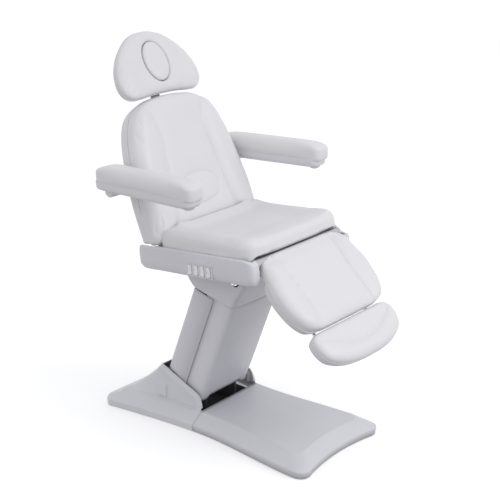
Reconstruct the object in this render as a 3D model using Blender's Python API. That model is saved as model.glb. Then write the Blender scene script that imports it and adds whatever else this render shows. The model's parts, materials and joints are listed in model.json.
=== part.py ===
import bmesh
import bpy
from math import sin, cos, radians, pi, hypot, sqrt
from mathutils import Vector

# Powered examination table: a floor base, a parallelogram lift column, a tilting seat,
# a reclining back with armrests and headrest, and a leg rest with a sliding foot rest.
# Metres, +Z up.  The foot end faces -Y; u is the distance forward, so y = -u.
# The sitter's right, with the switches, is at -X.

GAP = 0.0003             # clearance between pieces that touch
WALL = 0.0035            # wall of the moulded covers
SHEET = 0.006            # steel sheet of the pan and the frames
PIN_R = 0.008            # lift and hinge pins
BUSH_R = 0.018           # bushed tubes on the pins
PLATE_X = 0.085          # inner face of the pivot plates of chassis and carrier
PLATE_T = 0.008          # thickness of those plates

BASE_T = 0.010           # floor plate of the chassis
BASE_REAR = -0.490       # rear end of the base
BASE_SEAM = -0.040       # joint between the two base covers, at the front of the column well
BASE_FRONT = 0.497       # front edge at the middle
BASE_BOW = 0.038         # how far the front corners lead the middle
BASE_WAIST = 0.020       # where the base is narrowest
HALF_REAR = 0.282        # half widths of the base at rear, waist and front
HALF_WAIST = 0.220
HALF_FRONT = 0.252
RIM_Z = 0.030            # height of the upright rim
DECK_Z = 0.068           # height of the flat deck
SKIRT_W = 0.053          # width of the sloping skirt
CORNER_R = 0.055         # rounding of the front corners in plan
SLOT_HALF = 0.158        # half width of the column well
SADDLE_Z = 0.205         # height of the rear cover behind the column
SADDLE_U = -0.262        # rear edge of the column well
CHEEK_Z = 0.132          # height of the rear cover's cheeks near the joint

LIFT_DEG = 69.0          # column angle above the horizontal
LIFT_LEN = 0.476         # length of both lift arms
LIFT_GAP = 0.100         # distance between the two arms
REAR_U = -0.199          # lower pivot of the rear arm
REAR_Z = 0.165
COL_HALF = 0.150         # half width of the column
COL_BACK = 0.052         # rear wall behind the rear arm's axis
COL_FRONT = 0.0455       # front wall ahead of the front arm's axis
COL_SEAM = 0.0565        # seam ahead of the rear arm's axis

TILT_AHEAD = 0.158417    # tilt axis ahead of and above the rear arm's upper pivot
TILT_RISE = 0.045616
SEAT_DEG = 5.3           # rise of the seat towards the front
BACK_WIDE = 0.297        # half width of the back near the seat
SEAT_HALF = BACK_WIDE + 0.003    # half width over the side covers
SEAT_REAR = -0.360       # ends of the side covers, from the tilt axis
SEAT_FRONT = 0.198
COVER_LOW = 0.045        # lower and upper edge of the side covers above the tilt axis
COVER_TOP = 0.130
PAN_H = 0.112            # underside of the seat pan
PAN_HALF = 0.255
EAR_X = 0.239            # inner face of the hinge ears on the pan
EAR_T = 0.008
EAR_R = 0.016            # rounding of the ears on the back hinge
CUSH_HALF = SEAT_HALF - 0.015    # half width of the seat cushion
CUSH_TOP = 0.186

BACK_A = -0.310          # back hinge from the tilt axis, along the seat
BACK_H = 0.155
BACK_DEG = 113.0         # direction of the back from the horizontal
BACK_LEN = 0.517
LEG_A = 0.178            # leg hinge from the tilt axis
LEG_H = 0.114
LEG_DEG = -43.1
LEG_LEN = 0.311
LEG_HALF = 0.270
FOOT_LEN = 0.168
FOOT_HALF = 0.248
FOOT_ROD_X = 0.160       # guide rods of the foot rest
ROD_R = 0.007

HEAD_E = 0.541           # headrest hinge along the back
HEAD_F = -0.026
HEAD_DEG = 119.0
HEAD_HALF = 0.214
FACE_HALF = 0.062        # half width of the face hole
FACE_TALL = 0.082
FACE_E = 0.099           # middle of the face hole above the hinge

ARM_E = 0.215            # armrest crossbar along the back
ARM_R = 0.011
ARM_X = BACK_WIDE + 0.045    # middle of the armrest at the crossbar
ARM_HALF = 0.048
ARM_DEG = 2.5            # rise and outward splay of the armrests
ARM_SPLAY = 3.5
ARM_LEN = 0.502

ACT_X = 0.127            # planes of the back and leg actuators, right and left
TILT_X = 0.200           # plane of the tilt actuator
EYE_T = 0.016            # thickness of the actuator eyes
STUD_R = 0.006
ACT_ROD = 0.0077         # actuator rods
BACK_LEVER = 0.075       # levers on the back and leg hinges, and the crank on the tilt shaft
LEG_LEVER = 0.058
CRANK = 0.050
BACK_SWING = 27.5        # levers at rest, behind the line straight down from the hinge
LEG_SWING = 24.0

WHITE = (0.80, 0.80, 0.83)
SKIN = (0.86, 0.86, 0.87)
STEEL = (0.10, 0.10, 0.11)
CHROME = (0.75, 0.76, 0.78)
GREY = (0.30, 0.31, 0.33)
WOOD = (0.55, 0.42, 0.27)


class Frame:
    """Local axes: x across, p along a direction in the side plane, q square to it."""

    def __init__(self, u, z, deg, flip=False, x=0.0, yaw=0.0):
        self.u, self.z, self.x = u, z, x
        self.c, self.s = cos(radians(deg)), sin(radians(deg))
        self.k = -1.0 if flip else 1.0
        self.cy, self.sy = cos(radians(yaw)), sin(radians(yaw))

    def at(self, x, p, q):
        q = q * self.k
        du = p * self.c - q * self.s
        dz = p * self.s + q * self.c
        return Vector((self.x + x * self.cy + du * self.sy,
                       -(self.u + du * self.cy - x * self.sy), self.z + dz))

    def uz(self, p, q):
        v = self.at(-self.x, p, q)
        return -v.y, v.z


FLOOR = Frame(0, 0, 0)
COL = Frame(REAR_U, REAR_Z, LIFT_DEG, flip=True)
FRONT_U, FRONT_Z = COL.uz(0, LIFT_GAP)
TOPR_U, TOPR_Z = COL.uz(LIFT_LEN, 0)
TOPF_U, TOPF_Z = COL.uz(LIFT_LEN, LIFT_GAP)
COLF = Frame(FRONT_U, FRONT_Z, LIFT_DEG, flip=True)
TILT_U, TILT_Z = TOPR_U + TILT_AHEAD, TOPR_Z + TILT_RISE
SEAT = Frame(TILT_U, TILT_Z, SEAT_DEG)
BACK_U, BACK_Z = SEAT.uz(BACK_A, BACK_H)
BACK = Frame(BACK_U, BACK_Z, BACK_DEG, flip=True)
LEG_U, LEG_Z = SEAT.uz(LEG_A, LEG_H)
LEG = Frame(LEG_U, LEG_Z, LEG_DEG)
HEAD_U, HEAD_Z = BACK.uz(HEAD_E, HEAD_F)
HEAD = Frame(HEAD_U, HEAD_Z, HEAD_DEG, flip=True)

for old in list(bpy.data.objects):
    bpy.data.objects.remove(old, do_unlink=True)


def face_out(bm):
    """All faces turned outwards."""
    bmesh.ops.recalc_face_normals(bm, faces=bm.faces)
    if bm.calc_volume(signed=True) < 0:
        bmesh.ops.reverse_faces(bm, faces=bm.faces)


def raw(verts, faces):
    mesh = bpy.data.meshes.new("m")
    mesh.from_pydata([tuple(v) for v in verts], [], faces)
    mesh.validate()
    obj = bpy.data.objects.new("m", mesh)
    bpy.context.scene.collection.objects.link(obj)
    bpy.context.view_layer.objects.active = obj
    bm = bmesh.new()
    bm.from_mesh(mesh)
    bmesh.ops.remove_doubles(bm, verts=bm.verts, dist=0.00001)
    bmesh.ops.connect_verts_nonplanar(bm, angle_limit=0.0005, faces=bm.faces)
    face_out(bm)
    bm.to_mesh(mesh)
    bm.free()
    return obj


def loft(rings, strip=False):
    """Rings of equal count joined in order with flat ends; the ends of a thin wall are closed as a strip."""
    n = len(rings[0])
    verts = [v for ring in rings for v in ring]
    faces = []
    m = len(rings)
    for i in range(m - 1):
        for k in range(n):
            j = (k + 1) % n
            faces.append((i * n + k, i * n + j, (i + 1) * n + j, (i + 1) * n + k))
    for first in (0, (m - 1) * n):
        if strip:
            faces += [(first + k, first + k + 1, first + n - 2 - k, first + n - 1 - k)
                      for k in range(n // 2 - 1)]
        else:
            faces.append(tuple(range(first, first + n)))
    return raw(verts, faces)


def slab(frame, outline, x0, x1):
    """Side outline (p, q) given a thickness across."""
    return loft([[frame.at(x, p, q) for p, q in outline] for x in (x0, x1)])


def block(frame, x0, x1, p0, p1, q0, q1):
    return slab(frame, [(p0, q0), (p1, q0), (p1, q1), (p0, q1)], x0, x1)


def rod(a, b, radius, n=14):
    """Round bar between two points."""
    a, b = Vector(a), Vector(b)
    d = (b - a).normalized()
    e = Vector((1, 0, 0)) if abs(d.x) < 0.9 else Vector((0, 1, 0))
    e = (e - d * e.dot(d)).normalized()
    f = d.cross(e)
    turn = [2 * pi * k / n for k in range(n)]
    return loft([[c + (e * cos(t) + f * sin(t)) * radius for t in turn] for c in (a, b)])


def turned(a, b, profile, n=14):
    """Profile (distance, radius) turned about the line from a towards b."""
    a, b = Vector(a), Vector(b)
    d = (b - a).normalized()
    e = Vector((1, 0, 0)) if abs(d.x) < 0.9 else Vector((0, 1, 0))
    e = (e - d * e.dot(d)).normalized()
    f = d.cross(e)
    turn = [2 * pi * k / n for k in range(n)]
    return loft([[a + d * s + (e * cos(t) + f * sin(t)) * r for t in turn] for s, r in profile])


def hull_outline(circles, n=6):
    """Convex outline round several circles (p, q, r)."""
    pts = []
    for p, q, r in circles:
        pts += [(p + r * cos(2 * pi * k / (2 * n)), q + r * sin(2 * pi * k / (2 * n))) for k in range(2 * n)]
    pts = sorted(set((round(a, 6), round(b, 6)) for a, b in pts))

    def half(seq):
        out = []
        for c in seq:
            while len(out) > 1 and ((out[-1][0] - out[-2][0]) * (c[1] - out[-2][1])
                                    - (out[-1][1] - out[-2][1]) * (c[0] - out[-2][0])) <= 1e-10:
                out.pop()
            out.append(c)
        return out[:-1]
    return half(pts) + half(pts[::-1])


def mix(obj, other, how):
    mod = obj.modifiers.new("b", "BOOLEAN")
    mod.operation = how
    mod.solver = "EXACT"
    mod.object = other
    graph = bpy.context.evaluated_depsgraph_get()
    mesh = bpy.data.meshes.new_from_object(obj.evaluated_get(graph))
    obj.modifiers.clear()
    obj.data = mesh
    bpy.data.objects.remove(other, do_unlink=True)
    return obj


def add(obj, *others):
    for other in others:
        mix(obj, other, "UNION")
    return obj


def cut(obj, *others):
    for other in others:
        mix(obj, other, "DIFFERENCE")
    return obj


def piece(name, obj, origin, colour, rough=0.5, metal=0.0):
    """Names a finished solid, moves its origin to the given point and gives it a material."""
    origin = Vector(origin)
    bm = bmesh.new()
    bm.from_mesh(obj.data)
    bmesh.ops.translate(bm, verts=bm.verts, vec=-origin)
    face_out(bm)
    bm.to_mesh(obj.data)
    bm.free()
    obj.location = origin
    obj.name = name
    obj.data.name = name
    mat = bpy.data.materials.new(name)
    mat.use_nodes = True
    shader = mat.node_tree.nodes["Principled BSDF"]
    shader.inputs["Base Color"].default_value = (*colour, 1.0)
    shader.inputs["Roughness"].default_value = rough
    shader.inputs["Metallic"].default_value = metal
    obj.data.materials.clear()
    obj.data.materials.append(mat)
    return obj


def lerp(table, t):
    """Straight-line value from a table of (position, value)."""
    for (a, va), (b, vb) in zip(table, table[1:]):
        if t <= b:
            return va + (vb - va) * (t - a) / (b - a)
    return table[-1][1]


P_TILT = SEAT.at(0, 0, 0)
P_BACK = BACK.at(0, 0, 0)
P_LEG = LEG.at(0, 0, 0)
P_HEAD = HEAD.at(0, 0, 0)
P_RLOW = COL.at(0, 0, 0)
P_FLOW = COLF.at(0, 0, 0)
P_RTOP = COL.at(0, LIFT_LEN, 0)
P_FTOP = COLF.at(0, LIFT_LEN, 0)
PLATE_OUT = PLATE_X + PLATE_T
HEAD_T = 0.005           # thickness of the pin heads


# Base
def tower(x0, x1):
    return slab(FLOOR, hull_outline([
        (REAR_U, REAR_Z, 0.026), (FRONT_U, FRONT_Z, 0.022),
        (REAR_U - 0.010, BASE_T - 0.002, 0.004), (FRONT_U + 0.010, BASE_T - 0.002, 0.004)]), x0, x1)


FLOOR_HALF = HALF_WAIST - 0.020
chassis = block(FLOOR, -FLOOR_HALF, FLOOR_HALF, BASE_REAR + 0.060, BASE_FRONT - 0.060, 0, BASE_T)
add(chassis, tower(PLATE_X, PLATE_OUT), tower(-PLATE_OUT, -PLATE_X))
hole = PIN_R + GAP
cut(chassis, rod(P_RLOW + Vector((-0.2, 0, 0)), P_RLOW + Vector((0.2, 0, 0)), hole),
    rod(P_FLOW + Vector((-0.2, 0, 0)), P_FLOW + Vector((0.2, 0, 0)), hole))
piece("base_chassis", chassis, (0, 0, 0), STEEL, 0.5, 0.8)


def pin(name, centre, half, radius, colour=CHROME):
    """Round pin across the table with a head at each end."""
    ends = [(-half - HEAD_T, radius + 0.005), (-half, radius + 0.005), (-half, radius),
            (half, radius), (half, radius + 0.005), (half + HEAD_T, radius + 0.005)]
    c = Vector(centre)
    return piece(name, turned(c, c + Vector((1, 0, 0)), ends), c, colour, 0.3, 1.0)


pin("rear_lower_pin", P_RLOW, PLATE_OUT + GAP, PIN_R)
pin("front_lower_pin", P_FLOW, PLATE_OUT + GAP, PIN_R)


def base_half(u):
    """Half width of the base: hollow sides that are narrowest at the waist."""
    if u < BASE_WAIST:
        return HALF_WAIST + (HALF_REAR - HALF_WAIST) * ((BASE_WAIST - u) / (BASE_WAIST - BASE_REAR)) ** 1.5
    t = (u - BASE_WAIST) / (BASE_FRONT - BASE_WAIST)
    return HALF_WAIST + (HALF_FRONT - HALF_WAIST) * min(1.0, t * t * (3 - 2 * t))


LUG_FRONT = 0.43 * BASE_FRONT
LUG_REAR = 0.62 * BASE_REAR


def deck_ring(inset, z, start):
    """Plan outline of the front cover drawn in by an inset: a side, a corner and half the front arc."""
    round_r = CORNER_R
    def front(x):
        return BASE_FRONT + BASE_BOW * (x / HALF_FRONT) ** 2 - inset
    half = HALF_FRONT - inset
    cu = front(half - round_r) - round_r
    along = [start + (cu - start) * k / 5 for k in range(5)]
    turn = [pi / 2 * k / 6 for k in range(6)]
    across = [(half - round_r) * (1 - k / 6) for k in range(6)]
    right = [(base_half(u) - inset, u) for u in along]
    right += [(half - round_r * (1 - cos(t)), cu + round_r * sin(t)) for t in turn]
    right += [(x, front(x)) for x in across]
    ring = right + [(0.0, front(0))] + [(-x, u) for x, u in reversed(right)]
    return [FLOOR.at(x, u, z) for x, u in ring]


HALF_SKIRT = (SKIRT_W / 2, 0.5 * (RIM_Z + DECK_Z))
front_cover = loft([deck_ring(inset, z, BASE_SEAM) for inset, z in [
    (0.003, GAP), (0.0, RIM_Z - 0.004), (0.003, RIM_Z), HALF_SKIRT, (SKIRT_W - 0.006, DECK_Z - 0.0015),
    (SKIRT_W, DECK_Z)]])
cut(front_cover, loft([deck_ring(inset, z, BASE_SEAM - 0.02) for inset, z in [
    (WALL + 0.003, -0.010), (WALL + 0.003, RIM_Z - WALL), (SKIRT_W, DECK_Z - WALL)]]))


def foot_lugs(cover, u):
    """Tongues inside a base cover that reach the edge of the floor plate."""
    for side in (-1, 1):
        x0, x1 = sorted((side * (FLOOR_HALF + GAP), side * (base_half(u) - 0.0035)))
        add(cover, block(FLOOR, x0, x1, u - 0.015, u + 0.015, 0.002, 0.008))


foot_lugs(front_cover, LUG_FRONT)
piece("base_front_cover", front_cover, (0, 0, 0), WHITE, 0.45)


def saddle_ring(u, drop, inset, end_drop):
    """Cross-section of the rear cover: rim, skirt, leaning cheek and the saddle in the middle."""
    t = (u - BASE_REAR) / (SADDLE_U - BASE_REAR)
    if t < 1:
        top = RIM_Z + 0.006 + (SADDLE_Z - RIM_Z - 0.006) * max(t, 0) ** 1.3
    else:
        top = lerp([(SADDLE_U, SADDLE_Z), (BASE_SEAM - 0.022, CHEEK_Z), (BASE_SEAM, DECK_Z + 0.020)], u)
    ridge = top - 0.004 - drop
    half = base_half(u) - inset
    skirt = RIM_Z + (min(ridge, DECK_Z + 0.010) - RIM_Z) * 0.75
    lift = min(1.0, max(t, 0))
    lean = SLOT_HALF + 0.012
    foot = lean + lerp([(BASE_REAR, 0.045), (SADDLE_U, 0.010), (BASE_SEAM, 0.002)], u)
    section = [(half, end_drop), (half, RIM_Z - drop), (half - 0.005, RIM_Z + 0.002 - drop),
               (half + (foot - inset - half) * min(1, 0.3 + lift), skirt - drop),
               (lean - inset, ridge), (lean * 0.88 - inset, top - drop),
               (0.5 * SLOT_HALF, top - 0.002 - drop)]
    ring = [FLOOR.at(x, u, z) for x, z in section] + [FLOOR.at(0, u, top - 0.003 - drop)]
    return ring + [FLOOR.at(-x, u, z) for x, z in reversed(section)]


RISE = SADDLE_U - 0.006 - BASE_REAR
FALL = BASE_SEAM - GAP - SADDLE_U
stations = [BASE_REAR, BASE_REAR + 0.004]
stations += [BASE_REAR + RISE * t for t in (0.135, 0.270, 0.380, 0.460, 0.530, 0.600, 0.670, 0.743, 0.833,
                                                 0.923, 1.0)]
stations += [SADDLE_U + 0.005] + [SADDLE_U + FALL * t for t in (0.203, 0.493, 0.734, 0.901, 0.96, 1.0)]
outer = []
for k, u in enumerate(stations):
    pull = (0.020, 0.006, 0.0)[min(k, 2)]
    outer.append(saddle_ring(u, 0, pull, GAP))
inner = [saddle_ring(u, WALL, WALL + 0.003 + (0.016 if u < BASE_REAR + 0.01 else 0), -0.01)
         for u in [BASE_REAR + WALL] + stations[2:] + [BASE_SEAM + 0.03]]
rear_cover = loft(outer)
cut(rear_cover, loft(inner), block(FLOOR, -SLOT_HALF, SLOT_HALF, SADDLE_U, 0.05, -0.02, 0.3))
foot_lugs(rear_cover, LUG_REAR)
piece("base_rear_cover", rear_cover, (0, 0, 0), WHITE, 0.45)


# Lift arms and column covers
REACH = PLATE_X - GAP    # half length of the arm bushes


def lift_arm(frame, low, top, full_low):
    """Two bars joined by a bush at one end and split into two bushes at the other."""
    bars = None
    for side in (-1, 1):
        x0, x1 = sorted((side * 0.046, side * 0.070))
        bar = slab(frame, hull_outline([(0, 0, BUSH_R - 0.002), (LIFT_LEN, 0, BUSH_R - 0.002)], 6), x0, x1)
        for centre, full in ((low, full_low), (top, not full_low)):
            if not full:
                x0, x1 = sorted((side * 0.034, side * REACH))
                add(bar, rod(centre + Vector((x0, 0, 0)), centre + Vector((x1, 0, 0)), BUSH_R))
        bars = bar if bars is None else bars
        if bar is not bars:
            whole = low if full_low else top
            add(bars, rod(whole - Vector((REACH, 0, 0)), whole + Vector((REACH, 0, 0)), BUSH_R), bar)
    wide = Vector((0.3, 0, 0))
    cut(bars, rod(low - wide, low + wide, PIN_R + GAP), rod(top - wide, top + wide, PIN_R + GAP))
    return bars


rear_arm = lift_arm(COL, P_RLOW, P_RTOP, True)
piece("rear_lift_arm", rear_arm, P_RLOW, STEEL, 0.5, 0.8)
front_arm = lift_arm(COLF, P_FLOW, P_FTOP, False)
piece("front_lift_arm", front_arm, P_FLOW, STEEL, 0.5, 0.8)
pin("rear_upper_pin", P_RTOP, PLATE_OUT + GAP, PIN_R)
pin("front_upper_pin", P_FTOP, PLATE_OUT + GAP, PIN_R)


def channel(frame, half, near, far, bulge, corner, p_low, p_top):
    """U-shaped moulding: a wall at q = near with two sides running to q = far."""
    sign = 1 if far > near else -1

    def side(h, q_wall, q_end, r, swell):
        pts = [(h, q_end)]
        for k in range(5):
            t = pi / 2 * k / 4
            pts.append((h - r * (1 - cos(t)), q_wall + sign * r * (1 - sin(t))))
        for k in range(1, 5):
            x = (h - r) * (1 - k / 4)
            pts.append((x, q_wall - sign * swell * (1 - (x / (h - r)) ** 2)))
        return pts
    a = side(half, near, far, corner, bulge)
    b = side(half - WALL, near + sign * WALL, far, corner - WALL, bulge)
    out = a + [(-x, q) for x, q in reversed(a[:-1])]
    inn = b + [(-x, q) for x, q in reversed(b[:-1])]
    loop = out + inn[::-1]
    return loft([[frame.at(x, p(q), q) for x, q in loop] for p in (p_low, p_top)], True)


NEST = COL_HALF - WALL - 0.0006
APRON = -0.034           # lower end of the front cover, notched round the pivot plates
rear_cap = channel(COL, COL_HALF, -COL_BACK, COL_SEAM, 0.002, 0.018,
                   lambda q: 0.017 - 0.27 * (q + COL_BACK),
                   lambda q: LIFT_LEN - 0.056 + 0.10 * (q + COL_BACK))
front_cap = channel(COLF, NEST, COL_FRONT, COL_SEAM - LIFT_GAP - 0.036, 0.006, 0.016,
                    lambda q: APRON - 0.10 * (COL_FRONT - q), lambda q: LIFT_LEN - 0.020)
cut(front_cap, block(COLF, -PLATE_OUT - 0.007, PLATE_OUT + 0.007, APRON - 0.02, 0.006,
                     COL_FRONT - 0.015, COL_FRONT + 0.02))


def lugs(frame, cap, wall_q, arm_q, p0):
    """Blocks inside a cover that screw to the arm's two bars."""
    for side in (-1, 1):
        x0, x1 = sorted((side * 0.050, side * 0.066))
        add(cap, block(frame, x0, x1, p0, p0 + 0.060, *sorted((wall_q, arm_q))))


lugs(COL, rear_cap, -COL_BACK + 0.001, -BUSH_R + 0.002 - GAP, 0.26)
lugs(COLF, front_cap, COL_FRONT + 0.003, BUSH_R - 0.002 + GAP, 0.20)
piece("rear_column_cover", rear_cap, P_RLOW, WHITE, 0.45)
piece("front_column_cover", front_cap, P_FLOW, WHITE, 0.45)


# Actuators
def actuator(name, frame, x, a, b, stroke, housing=0.105, wide=0.022, tube=0.0145, slack=0.006,
             pin_a=STUD_R, pin_b=STUD_R):
    """Linear drive between two eyes: housing and tube on one side, rod with an open eye on the other."""
    pa, pb = frame.at(x, *a), frame.at(x, *b)
    d = (pb - pa).normalized()
    span = (pb - pa).length
    across = Vector((EYE_T / 2, 0, 0))
    eye = pin_a + GAP + 0.007
    ring = pin_b + slack + 0.005
    end = span - ring - 0.012 - max(stroke[0], 0)
    body = turned(pa, pb, [(0.012, wide * 0.6), (0.020, wide), (housing - 0.006, wide), (housing, tube),
                           (end, tube)])
    add(body, rod(pa - across, pa + across, eye))
    inside = rod(pa + d * (housing + 0.006), pa + d * (end + 0.05), ACT_ROD + 0.0006)
    cut(body, inside, rod(pa - across * 2, pa + across * 2, pin_a + GAP))
    piece(name + "_actuator", body, pa, GREY, 0.5, 0.2)
    start = housing + 0.010 + max(stroke[0], 0)
    bar = rod(pa + d * start, pb - d * (ring - 0.003), ACT_ROD)
    add(bar, rod(pb - across, pb + across, ring))
    cut(bar, rod(pb - across * 2, pb + across * 2, pin_b + slack))
    piece(name + "_rod", bar, pb, CHROME, 0.25, 1.0)


actuator("lift", FLOOR, 0, (FRONT_U, FRONT_Z), (TOPR_U, TOPR_Z), (0.068, 0.01),
         housing=0.150, wide=0.030, tube=0.020, slack=0.0048, pin_a=PIN_R, pin_b=PIN_R)

# Seat carrier on the upper pins
plates = hull_outline([(TOPR_U, TOPR_Z, 0.024), (TOPF_U, TOPF_Z, 0.024), (TILT_U, TILT_Z, 0.020)])
SHAFT_R = 0.010
BRIDGE = (TOPR_U + 0.0834, TOPR_Z + 0.032)
SLEEVE_X = COL_HALF + 0.003
carrier = slab(FLOOR, plates, PLATE_X, PLATE_OUT)
add(carrier, rod(SEAT.at(-PLATE_X - 0.002, 0, 0), SEAT.at(PLATE_X + 0.002, 0, 0), BUSH_R),
    rod(FLOOR.at(-PLATE_X - 0.002, *BRIDGE), FLOOR.at(PLATE_X + 0.002, *BRIDGE), 0.010),
    slab(FLOOR, plates, -PLATE_OUT, -PLATE_X))
for side in (-1, 1):
    x0, x1 = sorted((side * (PLATE_OUT - 0.002), side * (SLEEVE_X - GAP)))
    spigot = (TILT_U - 0.030, TILT_Z - 0.030)
    add(carrier, rod(FLOOR.at(x0, *spigot), FLOOR.at(x1, *spigot), 0.006))
for centre, radius in ((P_RTOP, PIN_R), (P_FTOP, PIN_R), (P_TILT, SHAFT_R)):
    cut(carrier, rod(centre - Vector((0.12, 0, 0)), centre + Vector((0.12, 0, 0)), radius + GAP))
piece("seat_carrier", carrier, P_RTOP, STEEL, 0.5, 0.8)

CHEEK = Frame(TILT_U, TILT_Z, 0)
nose = [(-0.023, -0.114), (0.011, -0.057), (0.046, -0.015)]
flare = [(-0.255, -0.031), (-0.200, -0.074)] + nose + [(-0.070, -0.009)]
hollow = [(-0.43, 0.045), (-0.43, -0.205), (-0.068, -0.205)]
hollow += [(p - WALL, q) for p, q in nose] + [(0.080, 0.045)]
sleeve = slab(CHEEK, flare, -SLEEVE_X - WALL, SLEEVE_X + WALL)
cut(sleeve, slab(CHEEK, hollow, -SLEEVE_X, SLEEVE_X))
piece("carrier_cover", sleeve, P_RTOP, WHITE, 0.45)

EAR_IN = PLATE_OUT + GAP
shaft = rod(SEAT.at(-EAR_IN - 0.020, 0, 0), SEAT.at(TILT_X + 0.030, 0, 0), SHAFT_R)
crank = hull_outline([(0, 0, 0.018), (0, CRANK, 0.011)])
add(shaft, slab(SEAT, crank, TILT_X + EYE_T / 2 + GAP, TILT_X + 0.018),
    rod(SEAT.at(TILT_X - EYE_T / 2, 0, CRANK), SEAT.at(TILT_X + 0.012, 0, CRANK), STUD_R))
piece("tilt_shaft", shaft, P_TILT, CHROME, 0.3, 1.0)

# Seat pan with its hinge ears and actuator studs
pan = block(SEAT, -PAN_HALF, PAN_HALF, BACK_A + 0.045, LEG_A - 0.020, PAN_H, PAN_H + 0.004)
for side in (-1, 1):
    flange = sorted((side * (PAN_HALF - 0.004), side * (PAN_HALF + 0.0005)))
    inner_ear = sorted((side * EAR_IN, side * (EAR_IN + EAR_T)))
    ear = sorted((side * EAR_X, side * (EAR_X + EAR_T)))
    add(pan, block(SEAT, *flange, BACK_A + 0.047, LEG_A - 0.022, PAN_H - 0.037, PAN_H + 0.002),
        slab(SEAT, hull_outline([(0, 0, 0.022), (-0.03, PAN_H, 0.002), (0.03, PAN_H, 0.002)]), *inner_ear),
        slab(SEAT, hull_outline([(BACK_A, BACK_H, EAR_R), (BACK_A + 0.050, PAN_H, 0.002),
                                 (BACK_A + 0.060, PAN_H - 0.032, 0.002)]), *ear),
        slab(SEAT, hull_outline([(LEG_A, LEG_H, 0.0145), (LEG_A - 0.060, PAN_H, 0.002),
                                 (LEG_A - 0.050, PAN_H - 0.027, 0.002)]), *ear))
BACK_EYE = (0.095, 0.068)
LEG_EYE = (-0.225, 0.066)
TILT_EYE = (-0.255, 0.058)


def stud(x, side, eye):
    """Hanger plate with a stud that carries the fixed eye of an actuator."""
    face = x + side * (EYE_T / 2 + GAP)
    x0, x1 = sorted((face, face + side * 0.005))
    hang = slab(SEAT, hull_outline([(eye[0], eye[1], 0.010), (eye[0] - 0.015, PAN_H + 0.001, 0.001),
                                    (eye[0] + 0.015, PAN_H + 0.001, 0.001)]), x0, x1)
    x0, x1 = sorted((x - side * EYE_T / 2, face + side * 0.003))
    return add(hang, rod(SEAT.at(x0, *eye), SEAT.at(x1, *eye), STUD_R))


add(pan, stud(-ACT_X, -1, BACK_EYE), stud(ACT_X, 1, LEG_EYE), stud(TILT_X, 1, TILT_EYE))
for centre, radius in ((P_TILT, SHAFT_R), (P_BACK, PIN_R), (P_LEG, PIN_R)):
    cut(pan, rod(centre - Vector((0.35, 0, 0)), centre + Vector((0.35, 0, 0)), radius + GAP))
piece("seat_pan", pan, P_TILT, STEEL, 0.5, 0.8)
pin("back_hinge_pin", P_BACK, EAR_X + EAR_T + GAP, PIN_R)
pin("leg_hinge_pin", P_LEG, EAR_X + EAR_T + GAP, PIN_R)


# Seat side covers with the switch panel
COVER_END = 0.257        # where the returns of the side covers stop, beside the hinges


def cover_ring(inset):
    """Plan loop of one side cover: rear return, side and front return, drawn in by an inset."""
    r = 0.045
    side = SEAT_HALF - inset
    a0, a1 = SEAT_REAR + inset, SEAT_FRONT - inset
    end = side - r - 0.010
    pts = [(end, a0)]
    pts += [(side - r * (1 - sin(pi / 2 * k / 5)), a0 + r * (1 - cos(pi / 2 * k / 5))) for k in range(6)]
    pts += [(side - r * (1 - cos(pi / 2 * k / 5)), a1 - r * (1 - sin(pi / 2 * k / 5))) for k in range(6)]
    return pts + [(end, a1)]


def side_cover():
    levels = [(0.014, COVER_LOW), (0.004, COVER_LOW + 0.012), (0.0, COVER_LOW + 0.045),
              (0.003, COVER_TOP - 0.006), (0.009, COVER_TOP)]
    out = [[SEAT.at(x, a, h) for x, a in cover_ring(i)] for i, h in levels]
    inn = [[SEAT.at(x, a, h) for x, a in cover_ring(i + WALL)] for i, h in levels]
    cover = loft([o + i[::-1] for o, i in zip(out, inn)], True)
    return cut(cover, block(SEAT, 0, COVER_END, SEAT_REAR - 0.1, SEAT_FRONT + 0.1, 0, COVER_TOP + 0.1))


SW_A = -0.046            # middle of the switch row along the seat
SW_H = 0.074
SW_PITCH = 0.0305
SW_HALF = (0.0105, 0.0185)
PANEL = (2 * SW_PITCH + 0.004, 0.0245)
BOX_X = SEAT_HALF
for name, sign in (("right_side_cover", -1), ("left_side_cover", 1)):
    cover = side_cover()
    for a in (-0.22, 0.10):
        add(cover, block(SEAT, PAN_HALF + 0.0005 + GAP, BOX_X - 0.002, a, a + 0.016, 0.084, 0.100))
    if sign < 0:
        cut(cover, block(SEAT, BOX_X - 0.02, BOX_X + 0.02, SW_A - PANEL[0], SW_A + PANEL[0],
                         SW_H - PANEL[1], SW_H + PANEL[1]))
        for v in cover.data.vertices:
            v.co.x = -v.co.x
    piece(name, cover, P_TILT, WHITE, 0.45)
panel = block(SEAT, -BOX_X - 0.0015, -BOX_X + 0.0080, SW_A - PANEL[0] + GAP, SW_A + PANEL[0] - GAP,
              SW_H - PANEL[1] + GAP, SW_H + PANEL[1] - GAP)
for k in range(4):
    mid = SW_A + (k - 1.5) * SW_PITCH
    cut(panel, block(SEAT, -BOX_X - 0.02, -BOX_X + 0.02, mid - SW_HALF[0] - GAP, mid + SW_HALF[0] + GAP,
                     SW_H - SW_HALF[1] - 0.0014, SW_H + SW_HALF[1] + 0.0014))
    axis = SEAT.at(-BOX_X + 0.002, mid, SW_H)
    shape = [(-BOX_X - 0.0035, 1.0), (-BOX_X - 0.0015, 0.0), (-BOX_X - 0.0035, -1.0),
             (-BOX_X + 0.0060, -1.0), (-BOX_X + 0.0060, 1.0)]
    rocker = loft([[SEAT.at(x, a, SW_H + s * SW_HALF[1]) for x, s in shape]
                   for a in (mid - SW_HALF[0], mid + SW_HALF[0])])
    piece("rocker_switch_%d" % (k + 1), rocker, axis, WHITE, 0.4)
piece("switch_panel", panel, P_TILT, GREY, 0.5)


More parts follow.
